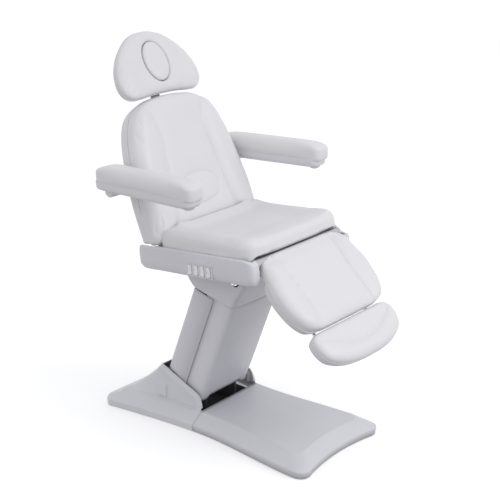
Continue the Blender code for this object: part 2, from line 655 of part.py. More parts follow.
# Cushions
PANELS = (0.0, 0.22, 0.42, 0.54, 0.60, 0.66, 0.78, 0.90, 0.97, 1.0)   # grid lines, seam at 0.6
PLAIN = (0.0, 0.3, 0.6, 0.8, 0.92, 1.0)


def cushion(frame, p0, p1, half, seam, low, edge, top, bow=(0.0, 0.0), rise=0.008, groove=0.004,
            rim=0.030, tuck=0.010, rows=16, extra=None, across=PANELS):
    """Crowned pad: a grid between two ends whose half width follows a table; two sewn channels divide
    the middle panel from the raised side bolsters; the sides are drawn in towards the base."""
    cols = [-c for c in reversed(across[1:])] + list(across)
    ends = [0.0, 0.02, 0.06, 0.13]
    ts = ends + [0.13 + 0.74 * k / (rows - 6) for k in range(1, rows - 6)] + [1 - t for t in reversed(ends)]
    grid = []
    for t in ts:
        p = p0 + (p1 - p0) * t
        w = lerp(half, t)
        s = min(lerp(seam, t), w - 0.03)
        row = []
        for c in cols:
            m = abs(c)
            x = s * m / 0.6 if m <= 0.6 else s + (w - s) * (m - 0.6) / 0.4
            x = x if c >= 0 else -x
            pp = p + bow[0] * (1 - t) * (x / w) ** 2 + bow[1] * t * (x / w) ** 2
            e = min(w - abs(x), p - p0, p1 - p)
            lift = sqrt(max(0.0, 1 - (1 - min(e / rim, 1.0)) ** 2))
            crown = top - 0.004 * (x / w) ** 2
            if m > 0.6:
                crown += rise * sin(pi * min(1.0, (m - 0.6) / 0.36) * 0.5)
            if m == 0.6 and 0.03 < t < 0.97:
                crown -= groove
            if extra:
                crown += extra(x, t)
            row.append((x, pp, edge + (crown - edge) * lift))
        grid.append(row)
    nr, nc = len(grid), len(cols)
    verts = [frame.at(*v) for row in grid for v in row]
    faces = []
    for i in range(nr - 1):
        for j in range(nc - 1):
            faces.append((i * nc + j, i * nc + j + 1, (i + 1) * nc + j + 1, (i + 1) * nc + j))
    loop = [(0, j) for j in range(nc)] + [(i, nc - 1) for i in range(1, nr)]
    loop += [(nr - 1, j) for j in range(nc - 2, -1, -1)] + [(i, 0) for i in range(nr - 2, 0, -1)]
    mid_p = 0.5 * (p0 + p1)
    base = len(verts)
    for i, j in loop:
        x, p, q = grid[i][j]
        k = 1 - tuck / hypot(x, p - mid_p)
        verts.append(frame.at(x * k, mid_p + (p - mid_p) * k, low))
    m = len(loop)
    for k in range(m):
        a = loop[k][0] * nc + loop[k][1]
        b = loop[(k + 1) % m][0] * nc + loop[(k + 1) % m][1]
        faces.append((a, b, base + (k + 1) % m, base + k))
    faces.append(tuple(range(base, base + m)))
    return raw(verts, faces)


def dish(x, t):
    """Seat: raised rolls along the front edge and against the back."""
    return 0.012 * min(1.0, max(0.0, (t - 0.62) / 0.3)) ** 2 + 0.022 * max(0.0, 1 - t / 0.26) ** 2


CUSH_TABLE = [(0, CUSH_HALF - 0.012), (0.02, CUSH_HALF - 0.006), (0.06, CUSH_HALF), (0.68, CUSH_HALF),
              (0.77, CUSH_HALF - 0.009), (0.85, CUSH_HALF - 0.029), (0.91, CUSH_HALF - 0.053),
              (0.96, CUSH_HALF - 0.082), (0.985, CUSH_HALF - 0.103), (1, CUSH_HALF - 0.125)]
BACK_CLEAR = 0.0795      # swing of the back cushion's lower end and of the leg cushion's upper end
LEG_CLEAR = 0.0225
seat_cushion = cushion(SEAT, BACK_A + BACK_CLEAR - 0.008, LEG_A + 0.010, CUSH_TABLE,
                       [(0, 0.19), (0.7, 0.2), (1, 0.11)], PAN_H + 0.004 + GAP, 0.160, CUSH_TOP - 0.007,
                       rise=0.011, extra=dish)
cut(seat_cushion, slab(SEAT, hull_outline([(LEG_A, LEG_H, LEG_CLEAR), (LEG_A - 0.060, PAN_H, 0.008)]),
                       -EAR_X - 0.05, EAR_X + 0.05),
    rod(BACK.at(-0.4, 0, 0), BACK.at(0.4, 0, 0), BACK_CLEAR, 36))
piece("seat_cushion", seat_cushion, P_TILT, SKIN, 0.55)


def table_ring(frame, half, p0, p1, bow, inset, q):
    """Loop round a piece whose half width follows a table from end to end, drawn in by an inset."""
    right = []
    for t, w in half:
        w = max(w - inset, 0.01)
        p = p0 + inset + (p1 - p0 - 2 * inset) * t
        right.append((w, p + bow[0] * (1 - t) + bow[1] * t))
    cross = [0.5, 0.0, -0.5]
    w1, w0 = right[-1][0], right[0][0]
    top = [(w1 * c, right[-1][1] - bow[1] * (1 - c * c)) for c in cross] if bow[1] else []
    low = [(-w0 * c, right[0][1] - bow[0] * (1 - c * c)) for c in cross] if bow[0] else []
    ring = right + top + [(-x, p) for x, p in reversed(right)] + low
    return [frame.at(x, p, q) for x, p in ring]


def tray(frame, half, p0, p1, bow, levels, wall=WALL):
    """Moulded shell open on the cushion side; levels run (inset, q) from the bottom to the rim."""
    sign = 1 if levels[-1][1] > levels[0][1] else -1
    shell = loft([table_ring(frame, half, p0, p1, bow, i, q) for i, q in levels])
    deep = [(levels[0][0] + wall, levels[0][1] + sign * wall)]
    deep += [(i + wall, q + sign * wall * 0.4) for i, q in levels[1:-1]]
    deep += [(levels[-1][0] + wall, levels[-1][1] + sign * 0.01)]
    return cut(shell, loft([table_ring(frame, half, p0, p1, bow, i, q) for i, q in deep]))


def board(frame, half, p0, p1, bow, inset, q0, q1):
    return loft([table_ring(frame, half, p0, p1, bow, inset, q) for q in (q0, q1)])


def lever(x, side, at, root):
    """Plate on a hinge tube with a stud for an actuator's open eye."""
    face = x + side * (EYE_T / 2 + GAP)
    x0, x1 = sorted((face, face + side * SHEET))
    plate = slab(SEAT, hull_outline([(*root, 0.007), (*at, 0.010)]), x0, x1)
    x0, x1 = sorted((x - side * EYE_T / 2, face + side * 0.003))
    return add(plate, rod(SEAT.at(x0, *at), SEAT.at(x1, *at), STUD_R))


# Back: frame, board, shell and cushion
TUBE_R = 0.0140
TUBE_X = EAR_X - GAP
BOARD_F = 0.005          # front face of the back board
BOARD_T = 0.017
BOARD_LOW = 0.016
BACK_HALF = [(0, BACK_WIDE - 0.005), (0.03, BACK_WIDE), (0.14, BACK_WIDE - 0.001), (0.31, BACK_WIDE - 0.007),
             (0.49, BACK_WIDE - 0.020), (0.67, BACK_WIDE - 0.039), (0.81, BACK_WIDE - 0.066),
             (0.885, BACK_WIDE - 0.094), (0.93, BACK_WIDE - 0.125), (0.965, BACK_WIDE - 0.159),
             (1, BACK_WIDE - 0.197)]
BACK_BOW = (0.0, -0.006)
BACK_LOW = -0.001
BACK_TUCK = -0.030       # lower edge of the back cushion, in front of the hinge
back_tip = (BACK_A - BACK_LEVER * sin(radians(BACK_SWING)), BACK_H - BACK_LEVER * cos(radians(BACK_SWING)))
leg_tip = (LEG_A - LEG_LEVER * sin(radians(LEG_SWING)), LEG_H - LEG_LEVER * cos(radians(LEG_SWING)))
SPINE = BOARD_F - BOARD_T - GAP
POST = (0.025, HEAD_F - 0.004, HEAD_F + 0.004)
SOCKET = (0.360, 0.460)
SPINE_HALF = 0.100       # half width of the plates of the back and leg frames
spine = rod(BACK.at(-TUBE_X, 0, 0), BACK.at(TUBE_X, 0, 0), TUBE_R)
add(spine, slab(BACK, [(-0.006, -0.006), (0.006, 0.008), (0.032, SPINE), (SOCKET[1], SPINE),
                       (SOCKET[1], SPINE - SHEET), (0.034, SPINE - SHEET), (-0.004, -0.008)],
                -SPINE_HALF, SPINE_HALF),
    block(BACK, -POST[0] - 0.006, POST[0] + 0.006, *SOCKET, POST[1] - 0.006, SPINE - 0.002),
    lever(-ACT_X, -1, back_tip, (BACK_A, BACK_H)))
cut(spine, block(BACK, -POST[0] - GAP, POST[0] + GAP, SOCKET[0] - 0.05, SOCKET[1] + 0.05,
                 POST[1] - GAP, POST[2] + GAP),
    rod(BACK.at(-0.3, 0, 0), BACK.at(0.3, 0, 0), PIN_R + GAP))
piece("back_frame", spine, P_BACK, STEEL, 0.5, 0.8)
piece("back_board", board(BACK, BACK_HALF, BOARD_LOW, BACK_LEN, BACK_BOW, 0.022, BOARD_F - BOARD_T, BOARD_F),
      P_BACK, WOOD, 0.7)
BAR_F = SPINE - SHEET - GAP - ARM_R
BAR_END = ARM_X + 0.024
bar = rod(BACK.at(-BAR_END, ARM_E, BAR_F), BACK.at(BAR_END, ARM_E, BAR_F), ARM_R)
P_ARM = BACK.at(0, ARM_E, BAR_F)
piece("arm_crossbar", bar, P_ARM, CHROME, 0.3, 1.0)
back_shell = tray(BACK, BACK_HALF, BACK_LOW + 0.002, BACK_LEN, BACK_BOW,
                  [(0.085, -0.052), (0.050, -0.044), (0.018, -0.024), (0.006, -0.010),
                   (0.004, BOARD_F - GAP)])
cut(back_shell, block(BACK, -POST[0] - 0.005, POST[0] + 0.005, SOCKET[1] - 0.02, BACK_LEN + 0.08,
                      POST[1] - 0.004, 0.010),
    block(BACK, -SPINE_HALF - 0.004, SPINE_HALF + 0.004, -0.03, 0.060, -0.030, 0.010),
    rod(BACK.at(-0.4, 0, 0), BACK.at(0.4, 0, 0), EAR_R + 0.002),
    rod(BACK.at(-0.4, ARM_E, BAR_F), BACK.at(0.4, ARM_E, BAR_F), ARM_R + GAP))
piece("back_shell", back_shell, P_BACK, WHITE, 0.45)


def lumbar(x, t):
    """Oval sewn line over the small of the back."""
    e = hypot(x / 0.125, (t - 0.25) / 0.115)
    return -0.003 if 0.85 < e < 1.15 else 0.0


back_cushion = cushion(BACK, BACK_TUCK, BACK_LEN, BACK_HALF,
                       [(0, 0.185), (0.2, 0.160), (0.55, 0.146), (1, 0.15)],
                       BOARD_F + GAP, 0.034, 0.068, BACK_BOW, rise=0.010, rows=20, extra=lumbar)
notch = [sorted((s * (EAR_X - 0.004), s * (EAR_X + EAR_T + 0.004))) for s in (-1, 1)]
cut(back_cushion, rod(BACK.at(-0.4, 0, 0), BACK.at(0.4, 0, 0), EAR_R + 0.002),
    *[block(BACK, x0, x1, BACK_TUCK - 0.02, EAR_R + 0.003, -0.02, 0.042) for x0, x1 in notch])
piece("back_cushion", back_cushion, P_BACK, SKIN, 0.55)
actuator("back", SEAT, -ACT_X, BACK_EYE, back_tip, (0.077, 0.008), slack=0.0086)
actuator("leg", SEAT, ACT_X, LEG_EYE, leg_tip, (0.014, 0.049), slack=0.0058)
actuator("tilt", SEAT, TILT_X, TILT_EYE, (0, CRANK), (0.008, 0.010), slack=0.0010)

# Armrests on the ends of the crossbar
ARM_END = [(0, ARM_HALF - 0.022), (0.02, ARM_HALF - 0.010), (0.05, ARM_HALF - 0.002), (0.09, ARM_HALF)]
ARM_TABLE = ARM_END + [(1 - t, w) for t, w in reversed(ARM_END)]
ARM_REAR = -0.070
ARM_RIM = 0.028          # height of the tray's rim
ARM_KNOB = ARM_REAR + ARM_LEN - 0.034
BOSS = (ARM_X - 0.040, BAR_END + 0.009)
for name, sign in (("right", -1), ("left", 1)):
    arm = Frame(-P_ARM.y, P_ARM.z, ARM_DEG, x=sign * ARM_X, yaw=sign * ARM_SPLAY)
    base = tray(arm, ARM_TABLE, ARM_REAR, ARM_REAR + ARM_LEN, (0, 0),
                [(0.010, 0.0), (0.003, 0.007), (0.0, 0.020), (0.001, ARM_RIM)])
    inn, out = [P_ARM + Vector((sign * x, 0, 0)) for x in BOSS]
    add(base, rod(inn, out, ARM_R * 2, 20),
        turned(arm.at(0, ARM_KNOB, 0.004), arm.at(0, ARM_KNOB, -0.1),
               [(0, 0.021), (0.008, 0.020), (0.013, 0.014)]))
    bore_in = P_ARM + Vector((sign * (BOSS[0] - 0.012), 0, 0))
    bore_out = P_ARM + Vector((sign * (BAR_END + GAP), 0, 0))
    cut(base, rod(bore_in, bore_out, ARM_R + GAP))
    piece(name + "_arm_tray", base, P_ARM, WHITE, 0.45)
    pad = cushion(arm, ARM_REAR - 0.002, ARM_REAR + ARM_LEN + 0.002, ARM_TABLE,
                  [(0, 0.012), (0.1, 0.022), (0.9, 0.022), (1, 0.012)],
                  ARM_RIM + GAP, ARM_RIM + 0.038, ARM_RIM + 0.070, rise=0.0, groove=0.0, rim=0.026,
                  tuck=0.002, rows=12, across=PLAIN)
    piece(name + "_arm_pad", pad, P_ARM, SKIN, 0.55)

# Headrest on its post
HEAD_LOW = -0.017
HEAD_TOP = 0.231
HEAD_TABLE = [(0, HEAD_HALF - 0.054), (0.05, HEAD_HALF - 0.016), (0.17, HEAD_HALF),
              (0.39, HEAD_HALF - 0.008), (0.585, HEAD_HALF - 0.033), (0.766, HEAD_HALF - 0.073),
              (0.887, HEAD_HALF - 0.114), (0.95, HEAD_HALF - 0.144), (1, HEAD_HALF - 0.178)]
HEAD_BOW = (-0.010, -0.004)
RIM_F = 0.042
KNUCKLE = 0.011
post = block(BACK, -POST[0], POST[0], SOCKET[0] - 0.060, HEAD_E - 0.002, POST[1], POST[2])
add(post, rod(HEAD.at(-POST[0] + 0.001, 0, 0), HEAD.at(POST[0] - 0.001, 0, 0), KNUCKLE))
cut(post, rod(HEAD.at(-0.1, 0, 0), HEAD.at(0.1, 0, 0), STUD_R + GAP))
piece("headrest_post", post, P_HEAD, CHROME, 0.3, 1.0)
plate_f = (0.0130, 0.0180 - GAP)
bracket = block(HEAD, -0.095, 0.095, -0.010, 0.014, *plate_f)
for side in (-1, 1):
    x0, x1 = sorted((side * (POST[0] + GAP), side * 0.060))
    add(bracket, slab(HEAD, hull_outline([(0, 0, KNUCKLE), (-0.006, 0.0145, 0.003), (0.008, 0.0145, 0.003)]),
                      x0, x1))
    x0, x1 = sorted((side * 0.078, side * 0.094))
    add(bracket, block(HEAD, x0, x1, -0.009, 0.130, plate_f[0] + 0.0005, plate_f[1] - 0.0002))
cut(bracket, rod(HEAD.at(-0.2, 0, 0), HEAD.at(0.2, 0, 0), STUD_R + GAP))
piece("headrest_bracket", bracket, P_HEAD, STEEL, 0.5, 0.8)
pin("headrest_pin", P_HEAD, 0.060 + GAP, STUD_R)


def oval(a, b, f0, f1, dome=[], n=32):
    """Oval bar through the headrest; a dome adds rings (inset, height) on its front."""
    turn = [2 * pi * k / n for k in range(n)]
    return loft([[HEAD.at((a - i) * cos(t), FACE_E + (b - i) * sin(t), f) for t in turn]
                 for i, f in [(0, f0), (0, f1)] + dome])


head_shell = tray(HEAD, HEAD_TABLE, HEAD_LOW + 0.002, HEAD_TOP - 0.002, HEAD_BOW,
                  [(0.062, 0.018), (0.032, 0.0235), (0.010, 0.033), (0.005, RIM_F)])
cut(head_shell, oval(FACE_HALF + GAP, FACE_TALL + GAP, 0, 0.1))
piece("headrest_shell", head_shell, P_HEAD, WHITE, 0.45)
head_cushion = cushion(HEAD, HEAD_LOW, HEAD_TOP, HEAD_TABLE, [(0, 0.08), (1, 0.08)],
                       RIM_F + GAP, 0.062, 0.086, HEAD_BOW, rise=0.0, groove=0.0, tuck=0.006, across=PLAIN)
cut(head_cushion, oval(FACE_HALF, FACE_TALL, 0.02, 0.12))
piece("headrest_cushion", head_cushion, P_HEAD, SKIN, 0.55)
side_gap = 2 * GAP
plug = oval(FACE_HALF - side_gap, FACE_TALL - side_gap, 0.062, 0.078,
            [(0.004, 0.085), (0.012, 0.0875), (0.030, 0.0885)])
piece("face_plug", plug, P_HEAD, SKIN, 0.55)

# Leg rest: frame, board, shell and cushion
LEG_TABLE = [(0, LEG_HALF - 0.098), (0.02, LEG_HALF - 0.082), (0.055, LEG_HALF - 0.062),
             (0.10, LEG_HALF - 0.034), (0.13, LEG_HALF - 0.025), (0.19, LEG_HALF - 0.020),
             (0.32, LEG_HALF - 0.012), (0.46, LEG_HALF), (0.62, LEG_HALF - 0.002), (0.80, LEG_HALF - 0.015),
             (0.89, LEG_HALF - 0.030), (0.955, LEG_HALF - 0.052), (1, LEG_HALF - 0.084)]
LEG_TUCK = -0.012        # upper end of the leg cushion, over the hinge
PLY_END = 0.036          # upper end of the board and of the shell
SHELL_END = 0.060
FRAME_END = 0.240
PLY = 0.012
PLY_TOP = -0.018
rod_c = PLY_TOP - PLY - GAP - 0.012
leg_frame = rod(LEG.at(-TUBE_X, 0, 0), LEG.at(TUBE_X, 0, 0), TUBE_R)
under = PLY_TOP - PLY - GAP
add(leg_frame, slab(LEG, [(-0.004, -0.004), (0.004, -0.010), (0.020, under), (FRAME_END, under),
                          (FRAME_END, under - SHEET), (0.014, under - SHEET), (-0.008, -0.006)],
                    -SPINE_HALF, SPINE_HALF),
    lever(ACT_X, 1, leg_tip, (LEG_A, LEG_H)))
cut(leg_frame, rod(LEG.at(-0.3, 0, 0), LEG.at(0.3, 0, 0), PIN_R + GAP))
piece("leg_frame", leg_frame, P_LEG, STEEL, 0.5, 0.8)
leg_board = board(LEG, LEG_TABLE, LEG_TUCK, LEG_LEN, (0, 0), 0.020, PLY_TOP - PLY, PLY_TOP)
cut(leg_board, block(LEG, -LEG_HALF, LEG_HALF, -0.05, PLY_END, -0.05, 0.0))
piece("leg_board", leg_board, P_LEG, WOOD, 0.7)
leg_shell = tray(LEG, LEG_TABLE, LEG_TUCK, LEG_LEN - 0.002, (0, 0),
                 [(0.050, -0.061), (0.026, -0.053), (0.011, -0.036), (0.008, PLY_TOP - GAP)])
cut(leg_shell, block(LEG, -LEG_HALF, LEG_HALF, -0.05, SHELL_END, -0.10, 0.05))
KNOB_B = 0.150
GUIDE = (0.115, 0.262)
for side in (-1, 1):
    x = side * FOOT_ROD_X
    cut(leg_shell, rod(LEG.at(x, 0.25, rod_c), LEG.at(x, 0.40, rod_c), ROD_R + 0.001))
    guide = block(LEG, x - 0.014, x + 0.014, *GUIDE, rod_c - 0.0105, under)
    cut(guide, rod(LEG.at(x, 0.0, rod_c), LEG.at(x, 0.4, rod_c), ROD_R + GAP))
    if side < 0:
        cut(leg_shell, rod(LEG.at(x, KNOB_B, -0.03), LEG.at(x, KNOB_B, -0.08), 0.0055))
        knob = turned(LEG.at(x, KNOB_B, rod_c - 0.0105 - GAP), LEG.at(x, KNOB_B, -0.10),
                      [(0, 0.0045), (0.0135, 0.0045), (0.0145, 0.012), (0.026, 0.013), (0.029, 0.010)])
        piece("lock_knob", knob, LEG.at(x, KNOB_B, rod_c), CHROME, 0.25, 1.0)
    piece("foot_guide_" + ("right" if side < 0 else "left"), guide, P_LEG, GREY, 0.6)
piece("leg_shell", leg_shell, P_LEG, WHITE, 0.45)
leg_cushion = cushion(LEG, LEG_TUCK, LEG_LEN, LEG_TABLE, [(0, 0.165), (0.5, 0.14), (1, 0.145)],
                      PLY_TOP + GAP, PLY_TOP + 0.022, PLY_TOP + 0.0415, rise=0.007, rim=0.026, rows=14)
cut(leg_cushion, rod(LEG.at(-0.4, 0, 0), LEG.at(0.4, 0, 0), TUBE_R + 0.002),
    block(LEG, -0.4, 0.4, -0.05, TUBE_R + 0.006, -0.05, 0.0),
    block(LEG, -0.4, 0.4, -0.05, LEG_TUCK + 0.008, -0.05, 0.05))
piece("leg_cushion", leg_cushion, P_LEG, SKIN, 0.55)

# Foot rest on two rods that slide in the leg rest
FOOT_LOW = LEG_LEN + 0.008
FOOT_TOP = FOOT_LOW + FOOT_LEN
FOOT_TABLE = [(0, FOOT_HALF - 0.022), (0.1, FOOT_HALF - 0.006), (0.3, FOOT_HALF), (0.45, FOOT_HALF - 0.001),
              (0.6, FOOT_HALF - 0.012), (0.72, FOOT_HALF - 0.036), (0.84, FOOT_HALF - 0.080),
              (0.92, FOOT_HALF - 0.123), (0.97, FOOT_HALF - 0.158), (1, FOOT_HALF - 0.190)]
FOOT_RIM = -0.015
P_FOOT = LEG.at(0, FOOT_LOW, rod_c)
foot_shell = tray(LEG, FOOT_TABLE, FOOT_LOW + 0.002, FOOT_TOP - 0.002, (0, -0.003),
                  [(0.046, -0.059), (0.020, -0.050), (0.009, -0.034), (0.006, FOOT_RIM)])
for side in (-1, 1):
    x = side * FOOT_ROD_X
    add(foot_shell, block(LEG, x - 0.012, x + 0.012, FOOT_LOW + 0.0185, FOOT_LOW + 0.070,
                          -0.0575, rod_c + 0.011))
    cut(foot_shell, rod(LEG.at(x, FOOT_LOW - 0.1, rod_c), LEG.at(x, FOOT_LOW + 0.0605, rod_c), ROD_R + GAP))
    piece("foot_rod_" + ("right" if side < 0 else "left"),
          rod(LEG.at(x, 0.095, rod_c), LEG.at(x, FOOT_LOW + 0.060, rod_c), ROD_R), P_FOOT, CHROME, 0.25, 1.0)
piece("foot_shell", foot_shell, P_FOOT, WHITE, 0.45)
foot_cushion = cushion(LEG, FOOT_LOW, FOOT_TOP, FOOT_TABLE, [(0, 0.16), (1, 0.10)], FOOT_RIM + GAP,
                       FOOT_RIM + 0.017, FOOT_RIM + 0.0375, (0, -0.003), rise=0.006, rim=0.024, tuck=0.006)
piece("foot_cushion", foot_cushion, P_FOOT, SKIN, 0.55)
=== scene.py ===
import json
import math

import bmesh
import bpy
import numpy as np
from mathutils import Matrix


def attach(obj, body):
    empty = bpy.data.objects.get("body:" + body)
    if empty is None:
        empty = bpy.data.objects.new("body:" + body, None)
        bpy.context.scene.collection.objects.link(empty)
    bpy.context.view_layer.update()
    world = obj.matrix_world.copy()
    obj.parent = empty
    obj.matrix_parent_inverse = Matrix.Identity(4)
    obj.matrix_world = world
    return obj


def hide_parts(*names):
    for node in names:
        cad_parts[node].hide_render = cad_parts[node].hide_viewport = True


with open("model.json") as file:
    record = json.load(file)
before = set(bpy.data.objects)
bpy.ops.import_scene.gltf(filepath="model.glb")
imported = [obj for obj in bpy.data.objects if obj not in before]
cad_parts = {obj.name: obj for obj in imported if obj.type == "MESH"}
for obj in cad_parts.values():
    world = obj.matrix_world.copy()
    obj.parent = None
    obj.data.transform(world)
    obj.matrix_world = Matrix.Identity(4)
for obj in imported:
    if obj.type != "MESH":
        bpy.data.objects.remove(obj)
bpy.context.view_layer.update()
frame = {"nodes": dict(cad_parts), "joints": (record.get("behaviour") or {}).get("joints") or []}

# Studio: a wide pale floor that throws no light back, a white sky that is dimmer below the horizon, and
# two broad soft lamps. The camera stands where the photograph was taken, ahead of the sitter's right knee.
SHOT_PLACE = (-3.18, -2.72, 2.165)
SHOT_TURN = -50.15
SHOT_DIP = 19.2
SHOT_FOCUS = 1150 / 500
SENSOR = 36.0
FLOOR_SPAN = 60.0
FLOOR_SINK = -0.0005
SKY_LIGHT = 0.85
SKY_BELOW = 0.36
SKY_FADE = (-0.30, -0.07)
SKY_TINT = (0.98, 0.985, 1.0, 1)
FLOOR_TONE = (0.93, 0.93, 0.93, 1)
FLOOR_GLOW = 0.24
KEY_LAMP = ((0.8, -3.6, 2.9), (0, -0.1, 0.6), 2.6, 54)
SIDE_LAMP = ((-3.6, 0.6, 2.6), (0, 0, 0.7), 2.4, 5)
studio = bpy.context.scene


def aimed(place, aim):
    """Turn that points an object's -Z from one place towards another."""
    away = np.array(place) - np.array(aim)
    flat = math.hypot(away[0], away[1])
    return (math.atan2(flat, away[2]), 0.0, math.atan2(away[0], -away[1]))


def lamp(name, place, aim, span, power):
    """Square lamp of the given span that faces a point."""
    light = bpy.data.lights.new(name, "AREA")
    light.size = span
    light.energy = power
    obj = bpy.data.objects.new(name, light)
    obj.location = place
    obj.rotation_euler = aimed(place, aim)
    studio.collection.objects.link(obj)


def wired(tree, *links):
    """Joins sockets of a node tree; each link is a node and its output, then a node and its input."""
    for source, given, target, taken in links:
        tree.links.new(source.outputs[given], target.inputs[taken])


def filled(node, values):
    """Sets a node's inputs by their names."""
    for socket, value in values.items():
        node.inputs[socket].default_value = value


camera = bpy.data.objects.new("camera", bpy.data.cameras.new("camera"))
camera.data.sensor_width = SENSOR
camera.data.lens = SHOT_FOCUS * SENSOR
camera.location = SHOT_PLACE
camera.rotation_euler = (math.radians(90 - SHOT_DIP), 0, math.radians(SHOT_TURN))
studio.collection.objects.link(camera)
studio.camera = camera
studio.view_settings.view_transform = "Standard"

sky = bpy.data.worlds.new("sky")
sky.use_nodes = True
sky_nodes = sky.node_tree.nodes
facing, height = sky_nodes.new("ShaderNodeTexCoord"), sky_nodes.new("ShaderNodeSeparateXYZ")
fade = sky_nodes.new("ShaderNodeMapRange")
filled(fade, {"From Min": SKY_FADE[0], "From Max": SKY_FADE[1], "To Min": SKY_BELOW, "To Max": SKY_LIGHT})
wired(sky.node_tree, (facing, "Generated", height, "Vector"), (height, "Z", fade, "Value"),
      (fade, "Result", sky_nodes["Background"], "Strength"))
filled(sky_nodes["Background"], {"Color": SKY_TINT})
studio.world = sky
lamp("key_lamp", *KEY_LAMP)
lamp("side_lamp", *SIDE_LAMP)

edge = FLOOR_SPAN / 2
floor_mesh = bpy.data.meshes.new("floor")
floor_mesh.from_pydata([(-edge, -edge, FLOOR_SINK), (edge, -edge, FLOOR_SINK), (edge, edge, FLOOR_SINK),
                        (-edge, edge, FLOOR_SINK)], [], [(0, 1, 2, 3)])
floor = bpy.data.objects.new("floor", floor_mesh)
floor_finish = bpy.data.materials.new("floor_finish")
floor_finish.use_nodes = True
filled(floor_finish.node_tree.nodes["Principled BSDF"],
       {"Base Color": FLOOR_TONE, "Roughness": 0.8, "Emission Color": (1, 1, 1, 1),
        "Emission Strength": FLOOR_GLOW})
floor.data.materials.append(floor_finish)
studio.collection.objects.link(floor)
floor.visible_diffuse = False

# Steelwork: chassis, lift arms and carrier in dark powder paint, seat pan and hinge frames in a pale one,
# the drives in grey paint, and the pins, rods, post and crossbar ground bright. All keep their solid shapes.
PAINTED = ["base_chassis", "rear_lift_arm", "front_lift_arm", "seat_carrier", "headrest_bracket"]
PALE = ["seat_pan", "back_frame", "leg_frame"]
DRIVES = ["lift_actuator", "tilt_actuator", "back_actuator", "leg_actuator"]
BRIGHT = ["rear_lower_pin", "front_lower_pin", "rear_upper_pin", "front_upper_pin", "tilt_shaft",
          "back_hinge_pin", "leg_hinge_pin", "lift_rod", "tilt_rod", "back_rod", "leg_rod", "arm_crossbar",
          "headrest_post", "headrest_pin", "foot_rod_right", "foot_rod_left"]
GUIDES = ["foot_guide_right", "foot_guide_left"]


def skin_group(name, slow_value, **inputs):
    """Empty node group that takes numbers with these start values and gives a normal and a slow value."""
    group = bpy.data.node_groups.new(name, "ShaderNodeTree")
    add = group.interface.new_socket
    for socket, start in inputs.items():
        add(socket, in_out="INPUT", socket_type="NodeSocketFloat").default_value = start
    add("Normal", in_out="OUTPUT", socket_type="NodeSocketVector")
    add(slow_value, in_out="OUTPUT", socket_type="NodeSocketFloat")
    return group


def grain_group():
    """Node group: two sizes of noise give a fine bump and a slow stain, for any moulded or painted skin."""
    group = skin_group("surface_grain", "Stain", Scale=900.0, Bump=0.1, Stretch=1.0)
    make = group.nodes.new
    given, out = make("NodeGroupInput"), make("NodeGroupOutput")
    place, squeeze = make("ShaderNodeTexCoord"), make("ShaderNodeMapping")
    stretch = make("ShaderNodeCombineXYZ")
    filled(stretch, {"Y": 1.0, "Z": 1.0})
    fine, slow, bump = make("ShaderNodeTexNoise"), make("ShaderNodeTexNoise"), make("ShaderNodeBump")
    filled(slow, {"Scale": 7.0, "Detail": 4.0})
    filled(bump, {"Distance": 0.0006})
    wired(group, (given, "Stretch", stretch, "X"), (place, "Object", squeeze, "Vector"),
          (stretch, "Vector", squeeze, "Scale"), (squeeze, "Vector", fine, "Vector"),
          (given, "Scale", fine, "Scale"), (place, "Object", slow, "Vector"), (fine, "Fac", bump, "Height"),
          (given, "Bump", bump, "Strength"), (bump, "Normal", out, "Normal"), (slow, "Fac", out, "Stain"))
    return group


surface_grain = grain_group()


def finish(name, colour, stained, rough, metal=0.0, scale=900.0, bump=0.1, stretch=1.0, coat=0.0):
    """Material: the colour drifts to a stained one with the slow noise, over the fine grain."""
    material = bpy.data.materials.new(name)
    material.use_nodes = True
    tree = material.node_tree
    skin_shader = tree.nodes["Principled BSDF"]
    grain = tree.nodes.new("ShaderNodeGroup")
    grain.node_tree = surface_grain
    filled(grain, {"Scale": scale, "Bump": bump, "Stretch": stretch})
    ramp = tree.nodes.new("ShaderNodeValToRGB")
    ramp.color_ramp.elements[0].position = 0.35
    ramp.color_ramp.elements[0].color = (*stained, 1)
    ramp.color_ramp.elements[1].position = 0.65
    ramp.color_ramp.elements[1].color = (*colour, 1)
    wired(tree, (grain, "Stain", ramp, "Fac"), (ramp, "Color", skin_shader, "Base Color"),
          (grain, "Normal", skin_shader, "Normal"))
    filled(skin_shader, {"Roughness": rough, "Metallic": metal, "Coat Weight": coat, "Coat Roughness": 0.25})
    return material


def dress(names, material):
    """Gives carried-over solids their material."""
    for name in names:
        node = frame["nodes"][name]
        node.data.materials.clear()
        node.data.materials.append(material)


powder_dark = finish("powder_dark", (0.085, 0.085, 0.09), (0.06, 0.06, 0.065), 0.5, 0.0, 1400, 0.35)
powder_pale = finish("powder_pale", (0.50, 0.50, 0.52), (0.46, 0.46, 0.48), 0.45, 0.0, 1400, 0.30)
drive_grey = finish("drive_grey", (0.36, 0.37, 0.39), (0.31, 0.32, 0.34), 0.45, 0.35, 1100, 0.2)
ground_steel = finish("ground_steel", (0.74, 0.75, 0.77), (0.68, 0.69, 0.71), 0.22, 1.0, 500, 0.06, 0.15)
guide_grey = finish("guide_grey", (0.20, 0.21, 0.22), (0.17, 0.18, 0.19), 0.5, 0.0, 1000, 0.15)
dress(PAINTED, powder_dark)
dress(PALE, powder_pale)
dress(DRIVES, drive_grey)
dress(BRIGHT, ground_steel)
dress(GUIDES, guide_grey)

